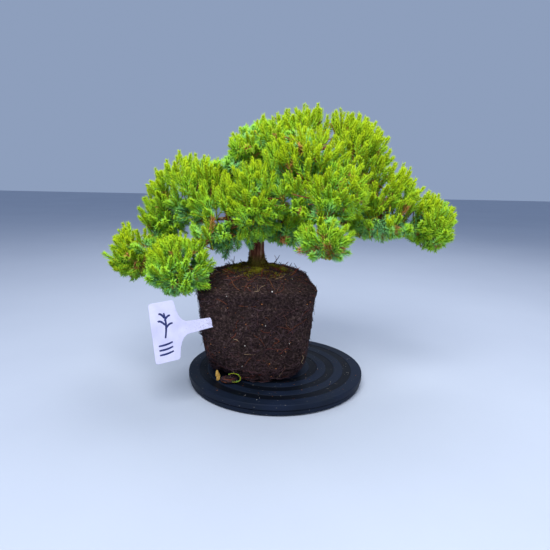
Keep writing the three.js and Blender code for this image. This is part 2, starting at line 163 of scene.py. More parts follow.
@dataclass
class Surface:
    """Vertices and faces on their way into a mesh.

    Args:
        points: vertex positions in metres.
        faces: arrays of faces, one array for each number of corners.
        uv: a palette coordinate for each vertex, or None.
    """

    points: np.ndarray
    faces: list[np.ndarray]
    uv: np.ndarray | None = None

    def piece(self, name: str, smooth: bool = True) -> bpy.types.Object:
        """Makes the mesh object at the origin.

        Args:
            name: the object's name.
            smooth: whether its faces are shaded smooth.

        Returns:
            The new object.
        """
        mesh = bpy.data.meshes.new(name)
        corners = np.concatenate([f.ravel() for f in self.faces])
        sizes = np.concatenate([np.full(len(f), f.shape[1]) for f in self.faces])
        starts = np.concatenate([[0], np.cumsum(sizes)[:-1]])
        mesh.vertices.add(len(self.points))
        mesh.vertices.foreach_set("co", self.points.astype(np.float32).ravel())
        mesh.loops.add(len(corners))
        mesh.loops.foreach_set("vertex_index", corners.astype(np.int32))
        mesh.polygons.add(len(sizes))
        mesh.polygons.foreach_set("loop_start", starts.astype(np.int32))
        mesh.polygons.foreach_set("use_smooth", np.full(len(sizes), smooth))
        if self.uv is not None:
            layer = mesh.uv_layers.new(name="OFBake")
            layer.uv.foreach_set("vector", self.uv[corners].astype(np.float32).ravel())
        mesh.update(calc_edges=True)
        mesh.validate()
        return placed(name, mesh)


def joined(first: Surface, second: Surface) -> Surface:
    """Two surfaces with palette coordinates as one.

    Args:
        first: the first surface.
        second: the second.

    Returns:
        Both as one surface.
    """
    faces = first.faces + [f + len(first.points) for f in second.faces]
    points = np.concatenate([first.points, second.points])
    return Surface(points, faces, np.concatenate([first.uv, second.uv]))


def ringed(rows: int, sides: int, capped: bool) -> list[np.ndarray]:
    """Faces between rings of points.

    Args:
        rows: how many rings.
        sides: points in a ring.
        capped: whether two poles, the next points after the rings, close the ends. Otherwise the last
            ring joins the first.

    Returns:
        The four-sided faces and, where capped, the three-sided ones.
    """
    side, row = np.arange(sides), np.arange(rows - 1 if capped else rows)[:, None]
    after, above = (side + 1) % sides, (row + 1) % rows
    quads = np.stack([row * sides + side, row * sides + after,
                      above * sides + after, above * sides + side], axis=-1).reshape(-1, 4)
    if not capped:
        return [quads]
    last, pole = (rows - 1) * sides, np.full(sides, rows * sides)
    low = np.stack([after, side, pole], axis=-1)
    high = np.stack([last + side, last + after, pole + 1], axis=-1)
    return [quads, np.concatenate([low, high])]


def copies(faces: np.ndarray, count: int, size: int) -> np.ndarray:
    """One shape's faces, repeated for many shapes of the same number of points.

    Args:
        faces: the faces of one.
        count: how many shapes.
        size: points in each.

    Returns:
        The faces of all.
    """
    return (faces[None] + (np.arange(count) * size)[:, None, None]).reshape(-1, faces.shape[1])


def turned(profile_mm: np.ndarray, segments: int) -> Surface:
    """A closed surface of revolution: each profile point goes round Z in a circle of its own radius.

    A profile that starts and ends on the axis is closed by its poles, and any other by joining its ends.

    Args:
        profile_mm: [radius, height] rows, with the material on the left as they go outwards and up.
        segments: how many facets go round.

    Returns:
        The surface.
    """
    capped = profile_mm[0, 0] < 1e-6
    ring = profile_mm[1:-1] if capped else profile_mm[:-1]
    angle = np.linspace(0, TURN, segments, endpoint=False)
    radius, height = ring[:, 0, None], ring[:, 1, None]
    points = [radius * np.cos(angle), radius * np.sin(angle), height + 0 * angle]
    points = np.stack(points, axis=-1).reshape(-1, 3)
    if capped:
        points = np.concatenate([points, [[0, 0, profile_mm[0, 1]], [0, 0, profile_mm[-1, 1]]]])
    return Surface(points * MM, ringed(len(ring), segments, capped))


def rounded(corners: list[tuple[float, float]], radius: float, steps: int = 4) -> np.ndarray:
    """A profile with each inner corner replaced by a curve that is pulled towards it.

    Args:
        corners: the profile's corners.
        radius: how far before and after a corner its bend reaches, at most 45% of the side.
        steps: points in a bend.

    Returns:
        The profile's points.
    """
    points = np.array(corners, float)
    closed = np.allclose(points[0], points[-1])
    core = points[:-1] if closed else points
    before, after = np.roll(core, 1, axis=0) - core, np.roll(core, -1, axis=0) - core
    reach_in = np.minimum(radius, 0.45 * np.linalg.norm(before, axis=1))[:, None]
    reach_out = np.minimum(radius, 0.45 * np.linalg.norm(after, axis=1))[:, None]
    start, end = core + unit(before) * reach_in, core + unit(after) * reach_out
    bends = curved(start, core, end, np.linspace(0, 1, steps))
    if closed:
        path = bends.reshape(-1, 2)
        return np.concatenate([path, path[:1]])
    return np.concatenate([core[:1], bends[1:-1].reshape(-1, 2), core[-1:]])


def tubes(paths: np.ndarray, radii: np.ndarray, sides: int, tints: np.ndarray | None = None,
          flat: np.ndarray | None = None, flatness: float = 1.0) -> Surface:
    """Closed round bars along many paths: a ring square to the path at each point, and a pole at each end.

    The rings' axes come from one reference direction for the whole path, so the bar doesn't twist.

    Args:
        paths: path points in metres, as paths by points by three.
        radii: each point's radius in metres, as paths by points.
        sides: corners in a ring.
        tints: a palette column for each path, or None. The palette row runs from 0 to 1 along a path.
        flat: a direction across which the section is squeezed, or None.
        flatness: the section's share of thickness that is kept along flat.

    Returns:
        The surface.
    """
    count, steps, _ = paths.shape
    ahead = unit(np.gradient(paths, axis=1))
    overall = unit(paths[:, -1] - paths[:, 0])
    guide = np.where(np.abs(overall[:, 2:3]) < 0.8, UP, np.array([1.0, 0.0, 0.0]))
    across = unit(np.cross(np.broadcast_to(guide[:, None], ahead.shape), ahead))
    aside = np.cross(ahead, across)
    angle = np.linspace(0, TURN, sides, endpoint=False)
    offset = across[:, :, None] * np.cos(angle)[:, None] + aside[:, :, None] * np.sin(angle)[:, None]
    offset = offset * radii[:, :, None, None]
    if flat is not None:
        offset = offset - (1 - flatness) * np.sum(offset * flat, axis=-1, keepdims=True) * flat
    rings = (paths[:, :, None] + offset).reshape(count, -1, 3)
    points = np.concatenate([rings, paths[:, :1], paths[:, -1:]], axis=1)
    size = steps * sides + 2
    faces = [copies(f, count, size) for f in ringed(steps, sides, True)]
    uv = None
    if tints is not None:
        along = np.concatenate([np.repeat(np.linspace(0, 1, steps), sides), [0, 1]])
        spread = np.concatenate([np.tile(np.cos(angle), steps), [0, 0]]) * PALETTE_SPREAD
        uv = np.stack([tints[:, None] + spread[None], np.broadcast_to(along, (count, size))], axis=-1)
        uv = uv.reshape(-1, 2)
    return Surface(points.reshape(-1, 3), faces, uv)


def blades(roots: np.ndarray, ahead: np.ndarray, face: np.ndarray, length: np.ndarray, width: np.ndarray,
           tints: np.ndarray, bend: float = 0.12) -> Surface:
    """Many small closed needles: a root, a keeled belly of three points and a tip.

    The belly stands a good third of the way up, half the width to each side of the middle and three tenths
    of the width behind it. The palette row runs from root to tip.

    Args:
        roots: where each needle starts, in metres.
        ahead: its direction.
        face: the direction that its upper side looks, roughly.
        length: its length in metres.
        width: its width in metres.
        tints: its palette column.
        bend: how far the tip leans away from its face, as a share of its length.

    Returns:
        The surface, six faces to a needle.
    """
    belly_share, keel_share = 0.36, 0.3
    count = len(roots)
    ahead = unit(ahead)
    side = unit(np.cross(ahead, face))
    front = np.cross(side, ahead)
    long, wide = length[:, None], width[:, None]
    belly = roots + ahead * long * belly_share
    points = np.stack([roots, belly + side * wide * 0.5, belly - front * wide * keel_share,
                       belly - side * wide * 0.5, roots + ahead * long - front * long * bend], axis=1)
    pattern = np.array([[2, 1, 0], [3, 2, 0], [1, 3, 0], [1, 2, 4], [2, 3, 4], [3, 1, 4]])
    spread = np.array([0, 1, 0, -1, 0]) * PALETTE_SPREAD
    along = np.array([0, belly_share, belly_share, belly_share, 1.0])
    uv = np.stack([tints[:, None] + spread, np.broadcast_to(along, (count, 5))], axis=-1)
    return Surface(points.reshape(-1, 3), [copies(pattern, count, 5)], uv.reshape(-1, 2))


def grains(places: np.ndarray, size: np.ndarray, seed: int, squash: float = 1.0) -> Surface:
    """Many small rough grains, each a twenty-sided lump with its corners moved at random.

    Args:
        places: centres in metres.
        size: radii in metres.
        seed: picks the random shapes.
        squash: the height's share of the width.

    Returns:
        The surface.
    """
    rng = np.random.default_rng(seed)
    gold = (1 + 5**0.5) / 2
    base = [(-1, gold, 0), (1, gold, 0), (-1, -gold, 0), (1, -gold, 0), (0, -1, gold), (0, 1, gold),
            (0, -1, -gold), (0, 1, -gold), (gold, 0, -1), (gold, 0, 1), (-gold, 0, -1), (-gold, 0, 1)]
    corners = unit(np.array(base, float))
    pattern = np.array([(0, 11, 5), (0, 5, 1), (0, 1, 7), (0, 7, 10), (0, 10, 11), (1, 5, 9), (5, 11, 4),
                        (11, 10, 2), (10, 7, 6), (7, 1, 8), (3, 9, 4), (3, 4, 2), (3, 2, 6), (3, 6, 8),
                        (3, 8, 9), (4, 9, 5), (2, 4, 11), (6, 2, 10), (8, 6, 7), (9, 8, 1)])
    count = len(places)
    scale = rng.uniform(0.65, 1.35, (count, 12, 1)) * rng.uniform(0.7, 1.2, (count, 1, 3))
    scale = scale * np.array([1, 1, squash])
    points = places[:, None] + corners[None] * scale * size[:, None, None]
    return Surface(points.reshape(-1, 3), [copies(pattern, count, 12)])


# ---- CAD nodes and finished pieces --------------------------------------------------------------


def nodes_named(start: str) -> list[str]:
    """The CAD nodes whose names start in a given way, in order."""
    return sorted(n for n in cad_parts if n.startswith(start))


def rows_of(mesh: bpy.types.Mesh, what: str = "co") -> np.ndarray:
    """Each vertex's position in metres, or its "normal", one row each.

    Args:
        mesh: the mesh.
        what: what is read, "co" or "normal".

    Returns:
        The rows.
    """
    flat = np.empty(len(mesh.vertices) * 3, np.float32)
    mesh.vertices.foreach_get(what, flat)
    return flat.reshape(-1, 3).astype(float)


def node_rows(node: str) -> np.ndarray:
    """A CAD node's vertex positions in metres."""
    return rows_of(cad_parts[node].data)


def box(node: str) -> tuple[np.ndarray, np.ndarray]:
    """A CAD node's lowest and highest corners, in metres."""
    low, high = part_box(node)
    return np.array(low), np.array(high)


def box_mm(node: str) -> tuple[np.ndarray, np.ndarray]:
    """A CAD node's lowest and highest corners, in millimetres."""
    low, high = box(node)
    return low / MM, high / MM


def merged(node: str, name: str) -> bpy.types.Object:
    """A copy of a CAD node whose loose triangles are joined at their corners.

    Args:
        node: the CAD node.
        name: the copy's name.

    Returns:
        The copy.
    """
    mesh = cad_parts[node].data.copy()
    work = bmesh.new()
    work.from_mesh(mesh)
    bmesh.ops.remove_doubles(work, verts=work.verts, dist=1e-6)
    work.to_mesh(mesh)
    work.free()
    return placed(name, mesh)


def bevelled(node: str, name: str, width_mm: float, angle_deg: float) -> bpy.types.Object:
    """A merged copy of a CAD node with its sharp edges bevelled.

    Args:
        node: the CAD node.
        name: the copy's name.
        width_mm: the bevel's width.
        angle_deg: the least angle of an edge that is bevelled.

    Returns:
        The copy.
    """
    made = merged(node, name)
    bevel = made.modifiers.new("Edges", "BEVEL")
    bevel.width = width_mm * MM
    bevel.segments = 2
    bevel.angle_limit = math.radians(angle_deg)
    return made


def refined(node: str, name: str, voxel_mm: float, relax: int) -> bpy.types.Object:
    """A finely meshed copy of a CAD node, ready for its surface to be worked.

    Args:
        node: the CAD node.
        name: the copy's name.
        voxel_mm: the mesh's fineness.
        relax: how many times each point moves half way to its neighbours' middle.

    Returns:
        The copy.
    """
    made = merged(node, name)
    remesh = made.modifiers.new("Remesh", "REMESH")
    remesh.mode = "VOXEL"
    remesh.voxel_size = voxel_mm * MM
    smooth = made.modifiers.new("Smooth", "SMOOTH")
    smooth.factor = 0.5
    smooth.iterations = relax
    graph = bpy.context.evaluated_depsgraph_get()
    fine = bpy.data.meshes.new_from_object(made.evaluated_get(graph))
    made.modifiers.clear()
    made.data = fine
    fine.materials.clear()
    fine.name = name
    fine.polygons.foreach_set("use_smooth", np.ones(len(fine.polygons), bool))
    return made


def raised(made: bpy.types.Object, lift_mm: np.ndarray, floor: float = -1.0) -> bpy.types.Object:
    """Moves each vertex along its normal.

    Args:
        made: the object.
        lift_mm: how far each vertex moves.
        floor: the height in metres that no vertex goes below.

    Returns:
        The object.
    """
    points = rows_of(made.data) + rows_of(made.data, "normal") * (lift_mm * MM)[:, None]
    points[:, 2] = np.maximum(points[:, 2], floor)
    made.data.vertices.foreach_set("co", points.astype(np.float32).ravel())
    made.data.update()
    return made


# ---- Finishes -----------------------------------------------------------------------------------


def linear(code: str) -> tuple[float, float, float, float]:
    """An sRGB hex colour, such as "3a5f0b", as the linear values that a shader takes.

    Args:
        code: the colour.

    Returns:
        Red, green, blue and an opacity of 1.
    """
    shares = [int(code[i:i + 2], 16) / 255 for i in (0, 2, 4)]
    red, green, blue = (s / 12.92 if s <= 0.04045 else ((s + 0.055) / 1.055) ** 2.4 for s in shares)
    return red, green, blue, 1.0


def per_metre(size_mm: float) -> float:
    """The texture scale at which a pattern repeats in a given size."""
    return 1 / (size_mm * MM)


def wire(node: bpy.types.Node, inputs: dict) -> None:
    """Fills a node's sockets.

    Args:
        node: the node.
        inputs: socket names or numbers, each with a value or the output socket that is linked to it.
    """
    for socket, value in inputs.items():
        if isinstance(value, bpy.types.NodeSocket):
            node.id_data.links.new(value, node.inputs[socket])
        else:
            node.inputs[socket].default_value = value


def add_node(tree: bpy.types.NodeTree, kind: str, inputs: dict | None = None,
             stops: tuple[tuple[float, str], ...] = (), **settings: object) -> bpy.types.Node:
    """Adds a shader node with its settings, values and links.

    Args:
        tree: the material's nodes.
        kind: the node's type.
        inputs: what wire puts into its sockets.
        stops: a colour ramp's places from 0 to 1, each with an sRGB hex colour.
        settings: the node's own properties.

    Returns:
        The new node.
    """
    node = tree.nodes.new(kind)
    for name, value in settings.items():
        setattr(node, name, value)
    wire(node, inputs or {})
    while stops and len(node.color_ramp.elements) < len(stops):
        node.color_ramp.elements.new(0.5)
    for element, (place, code) in zip(node.color_ramp.elements if stops else (), stops):
        element.position = place
        element.color = linear(code)
    return node


# A colour mix's sockets are numbered, because its names repeat for each type of value.
MIX_FROM, MIX_TO, MIX_RESULT = 6, 7, 2


@dataclass(frozen=True)
class Finish:
    """A real material: one Principled shader whose sockets each kind of finish fills.

    Args:
        name: the real material's name.
        slot: the record's material slot; not used.
    """

    name: str
    slot: str

    def sockets(self, tree: bpy.types.NodeTree) -> dict:
        """Adds the finish's nodes and gives what goes into the shader's sockets."""
        raise NotImplementedError

    def material(self) -> bpy.types.Material:
        """Makes the material.

        Returns:
            The material.
        """
        material = bpy.data.materials.new(self.name)
        material.use_nodes = True
        wire(material.node_tree.nodes["Principled BSDF"], self.sockets(material.node_tree))
        return material


@lru_cache(maxsize=None)
def material_of(finish: Finish) -> bpy.types.Material:
    """A finish's material, made once."""
    return finish.material()


def dressed(made: bpy.types.Object, finish: Finish, *nodes: str, body: Body = Body.PLATE) -> None:
    """Finishes a piece: its material, its body and the CAD nodes that it stands for.

    Args:
        made: the piece.
        finish: its finish.
        nodes: the CAD nodes that it replaces.
        body: the body that it rides on.
    """
    made.data.materials.clear()
    made.data.materials.append(material_of(finish))
    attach(made, body.value)
    if nodes:
        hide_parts(*nodes)
    LOG.info("%s: %d faces", made.name, len(made.data.polygons))


@dataclass(frozen=True)
class Grained(Finish):
    """A finish with a mottled colour and a fine grain in its gloss and relief.

    Args:
        colours: the mottle's colours, from the darkest places to the lightest.
        mottle_mm: the size of a patch of colour.
        grain_mm: the size of the relief's grain.
        relief_mm: the height of the relief.
        roughness: the lowest and highest roughness.
        metallic: 1 for a metal.
        specular: the shader's specular level.
    """

    colours: tuple[str, ...]
    mottle_mm: float
    grain_mm: float
    relief_mm: float
    roughness: tuple[float, float]
    metallic: float = 0.0
    specular: float = 0.5

    def sockets(self, tree: bpy.types.NodeTree) -> dict:
        """Adds the finish's nodes.

        Args:
            tree: the material's nodes.

        Returns:
            Socket names with their values or links.
        """
        place = add_node(tree, "ShaderNodeTexCoord").outputs["Object"]
        mottle = add_node(tree, "ShaderNodeTexNoise", {"Vector": place, "Scale": per_metre(self.mottle_mm),
                                                       "Detail": 5.0, "Roughness": 0.6})
        last = len(self.colours) - 1
        stops = tuple((0.3 + 0.4 * i / last, code) for i, code in enumerate(self.colours))
        colour = add_node(tree, "ShaderNodeValToRGB", {"Fac": mottle.outputs["Fac"]}, stops)
        grain = add_node(tree, "ShaderNodeTexNoise",
                         {"Vector": place, "Scale": per_metre(self.grain_mm), "Detail": 3.0}).outputs["Fac"]
        gloss = add_node(tree, "ShaderNodeMapRange", {"Value": grain, "From Min": 0.3, "From Max": 0.7,
                                                      "To Min": self.roughness[0],
                                                      "To Max": self.roughness[1]})
        bump = add_node(tree, "ShaderNodeBump",
                        {"Height": grain, "Strength": 0.6, "Distance": self.relief_mm * MM})
        return {"Base Color": colour.outputs["Color"], "Roughness": gloss.outputs["Result"],
                "Normal": bump.outputs["Normal"], "Metallic": self.metallic,
                "Specular IOR Level": self.specular}


@dataclass(frozen=True)
class Palette(Finish):
    """A finish for thousands of small living things: its colour depends only on the palette coordinate.

    The column picks the age and kind, and in the needles' palette also how deep the painted shade is, and
    the row runs from root to tip.

    Args:
        roots: colours at the root, as column and hex.
        tips: colours at the tip.
        roughness: of the surface.
        specular: the shader's specular level.
    """

    roots: tuple[tuple[float, str], ...]
    tips: tuple[tuple[float, str], ...]
    roughness: float
    specular: float = 0.12

    def sockets(self, tree: bpy.types.NodeTree) -> dict:
        """Adds the finish's nodes.

        Args:
            tree: the material's nodes.

        Returns:
            Socket names with their values or links.
        """
        spot = add_node(tree, "ShaderNodeUVMap", uv_map="OFBake").outputs["UV"]
        parts = add_node(tree, "ShaderNodeSeparateXYZ", {"Vector": spot})
        age = {"Fac": parts.outputs["X"]}
        root, tip = (add_node(tree, "ShaderNodeValToRGB", age, stops).outputs["Color"]
                     for stops in (self.roots, self.tips))
        mixed = add_node(tree, "ShaderNodeMix",
                         {"Factor": parts.outputs["Y"], MIX_FROM: root, MIX_TO: tip}, data_type="RGBA")
        return {"Base Color": mixed.outputs[MIX_RESULT], "Roughness": self.roughness,
                "Specular IOR Level": self.specular}


# Closed-cell rubber: dead matt, with a fine pebbled skin.
FOAM_RUBBER = Grained("foam rubber", "rubber_pad", ("161617", "1f1f21"), 9, 0.8, 0.15, (0.85, 1.0),
                      specular=0.3)
# Polished bearing steel: bright, with a faint drawn haze.
BEARING_STEEL = Grained("bearing steel", "bearing_steel", ("b9bbbf", "cfd1d4"), 3, 0.5, 0.01,
                        (0.12, 0.25), metallic=1.0)
# Moulded natural nylon: creamy and slightly translucent to the eye.
NYLON = Grained("moulded nylon", "cage_nylon", ("cfcabb", "dcd8cc"), 6, 0.7, 0.03, (0.35, 0.5))
# Peat in a pot-shaped block: near black where damp, grey-brown where it dries.
PEAT = Grained("moist peat", "peat_and_roots", ("0d0807", "1f1514", "362926", "5a4a4a"), 2.2, 1.0, 0.7,
               (0.85, 1.0), specular=0.12)
# Peat crumbs: drier and greyer than the block that they stand on.
CRUMB = Grained("dry peat crumb", "peat_and_roots", ("170f0e", "2d2221", "443634", "60504e"), 3.1, 0.5,
                0.2, (0.85, 1.0), specular=0.12)
# Perlite: expanded volcanic glass, chalky white.
PERLITE = Grained("perlite", "peat_and_roots", ("cfcac0", "f4f1ea"), 2, 0.4, 0.1, (0.7, 0.9))
# Composted bark: orange-brown chips.
BARK_CHIP = Grained("composted bark", "peat_and_roots", ("6b3d1e", "9a5a2a", "b9783c"), 2.5, 0.5, 0.15,
                    (0.7, 0.95))
# A dry scale leaf, straw yellow with brown blotches.
DRY_LEAF = Grained("dry leaf", "dead_leaf", ("7c5a22", "b18a3a", "d1b264"), 3, 0.6, 0.1, (0.6, 0.85))
# Felt-pen ink on plastic: dark blue, with a slight sheen where it is thick.
INK = Grained("felt-pen ink", "label_plastic", ("0c1648", "16286a"), 4, 0.5, 0.02, (0.35, 0.5))
# The plain floor: pale painted board, with a grain too fine to see.
FLOOR_PAINT = Grained("pale floor paint", "", ("aeb6c5", "b4bcca"), 400, 3, 0.02, (0.55, 0.65),
                      specular=0.3)

# Juniper needles: yellow-green at new tips, blue-green and waxy on older growth, rust where dead. The
# near-black green at column 0.16 is painted shade: the needles at the foot of a shoot and the
# downward-facing shoots are moved towards it.
NEEDLES = Palette(
    "juniper needles", "foliage",
    ((0.0, "6a3a20"), (0.04, "7a4a28"), (0.07, "9a9a1e"), (0.12, "b0b428"), (0.16, "0e1a06"),
     (0.40, "4a8e40"), (0.62, "649c1a"), (0.90, "7e9a06"), (0.95, "9a5a2c"), (1.0, "a86a38")),
    ((0.0, "7e4a30"), (0.04, "8a5c38"), (0.07, "aab02c"), (0.12, "c4cc34"), (0.16, "24400e"),
     (0.40, "a6f0a0"), (0.62, "b6f246"), (0.90, "bcd612"), (0.95, "d08c4c"), (1.0, "e0a868")),
    roughness=0.6,
)
# Moss: gold-green cushions with brown litter between.
MOSS = Palette(
    "gold-green moss", "moss",
    ((0.0, "170f08"), (0.4, "271f0b"), (0.7, "3a3a0c"), (1.0, "4a5411")),
    ((0.0, "4a2e18"), (0.4, "664e19"), (0.7, "867a1a"), (1.0, "94982c")),
    roughness=0.85, specular=0.1,
)
# Living and dead roots: near black through grey-brown and rust to pale straw.
ROOTS = Palette(
    "juniper roots", "peat_and_roots",
    ((0.0, "190f10"), (0.35, "33252a"), (0.62, "4c3a40"),
     (0.78, "642c1e"), (0.9, "7a4e32"), (1.0, "a08c70")),
    ((0.0, "1d1213"), (0.35, "3a2a2e"), (0.62, "57444a"),
     (0.78, "80361f"), (0.9, "8a5c3c"), (1.0, "b4a084")),
    roughness=0.8,
)
STEM_COLUMNS = (0.07, 0.11)  # green stems in the palette of needles
TWIG_COLUMNS = (PALETTE_SPREAD, 0.035)
# Live needles' columns start just above the near-black green of painted shade.
LIVE_COLUMNS = (0.175, 0.885)
DEAD_COLUMN = 0.975


@dataclass(frozen=True)
class TurntablePlastic(Finish):
    """Moulded ABS, blue-black: darker in its sunk bands, with a fine stipple and pale dust on it.

    Args:
        raised: the colour of the raised bands.
        sunk: the colour of the sunk bands.
        top_mm: the height of the raised bands, or None where the piece has none.
        rim_mm: the radius past which nothing is sunk.
        stipple_mm: the spacing of the moulded stipple.
        dust_mm: the spacing of the dust specks.
    """

    name: str = "moulded black plastic"
    slot: str = "turntable_plastic"
    raised: str = "151e30"
    sunk: str = "080c15"
    top_mm: float | None = None
    rim_mm: float = 0.0
    stipple_mm: float = 0.9
    dust_mm: float = 5.0

    def sockets(self, tree: bpy.types.NodeTree) -> dict:
        """Adds the finish's nodes.

        Args:
            tree: the material's nodes.

        Returns:
            Socket names with their values or links.
        """
        place = add_node(tree, "ShaderNodeTexCoord").outputs["Object"]
        cloud = add_node(tree, "ShaderNodeTexNoise",
                         {"Vector": place, "Scale": per_metre(30), "Detail": 4.0}).outputs["Fac"]
        base = add_node(tree, "ShaderNodeValToRGB", {"Fac": cloud},
                        ((0.3, "101722"), (0.7, self.raised))).outputs["Color"]
        if self.top_mm is not None:
            dark = add_node(tree, "ShaderNodeValToRGB", {"Fac": cloud},
                            ((0.3, "070b12"), (0.7, self.sunk)))
            base = add_node(tree, "ShaderNodeMix", {"Factor": self.lifted(tree, place), MIX_TO: base,
                                                    MIX_FROM: dark.outputs["Color"]},
                            data_type="RGBA").outputs[MIX_RESULT]
        speck = add_node(tree, "ShaderNodeTexVoronoi",
                         {"Vector": place, "Scale": per_metre(self.dust_mm)})
        spot = add_node(tree, "ShaderNodeMapRange", {"Value": speck.outputs["Distance"], "From Min": 0.05,
                                                     "From Max": 0.09, "To Min": 0.4, "To Max": 0.0})
        dusted = add_node(tree, "ShaderNodeMix", {"Factor": spot.outputs["Result"], MIX_FROM: base,
                                                  MIX_TO: linear("b8b2a8")}, data_type="RGBA")
        grain = add_node(tree, "ShaderNodeTexNoise",
                         {"Vector": place, "Scale": per_metre(self.stipple_mm), "Detail": 2.0})
        gloss = add_node(tree, "ShaderNodeMapRange", {"Value": cloud, "From Min": 0.3, "From Max": 0.7,
                                                      "To Min": 0.42, "To Max": 0.6})
        bump = add_node(tree, "ShaderNodeBump",
                        {"Height": grain.outputs["Fac"], "Strength": 0.5, "Distance": 0.08 * MM})
        return {"Base Color": dusted.outputs[MIX_RESULT], "Roughness": gloss.outputs["Result"],
                "Normal": bump.outputs["Normal"], "Specular IOR Level": 0.10}

    def lifted(self, tree: bpy.types.NodeTree, place: bpy.types.NodeSocket) -> bpy.types.NodeSocket:
        """A socket that is 1 on the raised bands and past the rim's radius, and 0 in the sunk bands.

        Args:
            tree: the material's nodes.
            place: the object coordinates.

        Returns:
            The socket.
        """
        height = add_node(tree, "ShaderNodeSeparateXYZ", {"Vector": place}).outputs["Z"]
        band = add_node(tree, "ShaderNodeMapRange", {"Value": height, "From Min": (self.top_mm - 0.4) * MM,
                                                     "From Max": (self.top_mm - 0.1) * MM})
        flat = add_node(tree, "ShaderNodeVectorMath", {0: place, 1: (1.0, 1.0, 0.0)},
                        operation="MULTIPLY")
        radius = add_node(tree, "ShaderNodeVectorMath", {0: flat.outputs["Vector"]}, operation="LENGTH")
        rim = add_node(tree, "ShaderNodeMath", {0: radius.outputs["Value"], 1: self.rim_mm * MM},
                       operation="GREATER_THAN")
        return add_node(tree, "ShaderNodeMath", {0: band.outputs["Result"], 1: rim.outputs[0]},
                        operation="MAXIMUM").outputs[0]


@dataclass(frozen=True)
class JuniperBark(Finish):
    """Bark that peels in upright strips: red-brown, tan where the strips are gone, green at the foot.

    Args:
        strip_mm: the width of a strip.
        stretch: a strip's length over its width.
        patch_mm: the size of a bare patch.
        moss_top_mm: how high the algae climb, or None where the wood has none.
        moss_fade_mm: the height over which they fade out.
    """

    name: str = "juniper bark"
    slot: str = "bark"
    strip_mm: float = 2.4
    stretch: float = 7.0
    patch_mm: float = 11.0
    moss_top_mm: float | None = None
    moss_fade_mm: float = 9.0

    def sockets(self, tree: bpy.types.NodeTree) -> dict:
        """Adds the finish's nodes.

        Args:
            tree: the material's nodes.

        Returns:
            Socket names with their values or links.
        """
        place = add_node(tree, "ShaderNodeTexCoord").outputs["Object"]
        long = add_node(tree, "ShaderNodeMapping",
                        {"Vector": place, "Scale": (1.0, 1.0, 1 / self.stretch)}).outputs["Vector"]
        strip = add_node(tree, "ShaderNodeTexNoise", {"Vector": long, "Scale": per_metre(self.strip_mm),
                                                      "Detail": 6.0, "Roughness": 0.65}).outputs["Fac"]
        old = ((0.25, "1e100a"), (0.42, "5a2a1a"), (0.55, "7c4632"), (0.66, "9c6a4c"), (0.8, "c8a98a"))
        bare = ((0.3, "7a5a40"), (0.5, "b99773"), (0.7, "dcc5a4"))
        base, pale = (add_node(tree, "ShaderNodeValToRGB", {"Fac": strip}, stops).outputs["Color"]
                      for stops in (old, bare))
        patch = add_node(tree, "ShaderNodeTexNoise",
                         {"Vector": long, "Scale": per_metre(self.patch_mm), "Detail": 2.0})
        share = add_node(tree, "ShaderNodeMapRange", {"Value": patch.outputs["Fac"], "From Min": 0.54,
                                                      "From Max": 0.64, "To Max": 0.85})
        mixed = add_node(tree, "ShaderNodeMix",
                         {"Factor": share.outputs["Result"], MIX_FROM: base, MIX_TO: pale},
                         data_type="RGBA").outputs[MIX_RESULT]
        if self.moss_top_mm is not None:
            height = add_node(tree, "ShaderNodeSeparateXYZ", {"Vector": place}).outputs["Z"]
            green = add_node(tree, "ShaderNodeMapRange",
                             {"Value": height, "From Min": (self.moss_top_mm - self.moss_fade_mm) * MM,
                              "From Max": self.moss_top_mm * MM, "To Min": 0.85, "To Max": 0.0})
            mixed = add_node(tree, "ShaderNodeMix", {"Factor": green.outputs["Result"], MIX_FROM: mixed,
                                                     MIX_TO: linear("5f5a1c")},
                             data_type="RGBA").outputs[MIX_RESULT]
        bump = add_node(tree, "ShaderNodeBump", {"Height": strip, "Strength": 0.8, "Distance": 0.6 * MM})
        return {"Base Color": mixed, "Roughness": 0.85, "Normal": bump.outputs["Normal"],
                "Specular IOR Level": 0.25}


@dataclass(frozen=True)
class LabelSheet(Finish):
    """Thin white styrene sheet with a lilac cast, and soil specks near its stake.

    Args:
        colour: the clean sheet.
        speck_mm: the size of a speck of soil.
        soil_from_mm: the x where the soiling starts.
        soil_to_mm: the x where it is heaviest.
    """

    name: str = "white styrene sheet"
    slot: str = "label_plastic"
    colour: str = "cccbe6"
    speck_mm: float = 1.1
    soil_from_mm: float = -105.0
    soil_to_mm: float = -78.0

    def sockets(self, tree: bpy.types.NodeTree) -> dict:
        """Adds the finish's nodes.

        Args:
            tree: the material's nodes.

        Returns:
            Socket names with their values or links.
        """
        place = add_node(tree, "ShaderNodeTexCoord").outputs["Object"]
        cloud = add_node(tree, "ShaderNodeTexNoise",
                         {"Vector": place, "Scale": per_metre(14), "Detail": 5.0})
        base = add_node(tree, "ShaderNodeValToRGB", {"Fac": cloud.outputs["Fac"]},
                        ((0.3, "bcbbdc"), (0.6, self.colour), (0.8, "d6d6ee")))
        speck = add_node(tree, "ShaderNodeTexNoise", {"Vector": place, "Scale": per_metre(self.speck_mm),
                                                      "Detail": 3.0, "Roughness": 0.7})
        across = add_node(tree, "ShaderNodeSeparateXYZ", {"Vector": place}).outputs["X"]
        near = add_node(tree, "ShaderNodeMapRange", {"Value": across, "From Min": self.soil_from_mm * MM,
                                                     "From Max": self.soil_to_mm * MM, "To Min": 0.70,
                                                     "To Max": 0.54})
        over = add_node(tree, "ShaderNodeMath", {0: speck.outputs["Fac"], 1: near.outputs["Result"]},
                        operation="SUBTRACT")
        share = add_node(tree, "ShaderNodeMapRange",
                         {"Value": over.outputs[0], "From Max": 0.10, "To Max": 0.6})
        soiled = add_node(tree, "ShaderNodeMix",
                          {"Factor": share.outputs["Result"], MIX_FROM: base.outputs["Color"],
                           MIX_TO: linear("6a5f74")}, data_type="RGBA")
        return {"Base Color": soiled.outputs[MIX_RESULT], "Roughness": 0.38, "Specular IOR Level": 0.5}


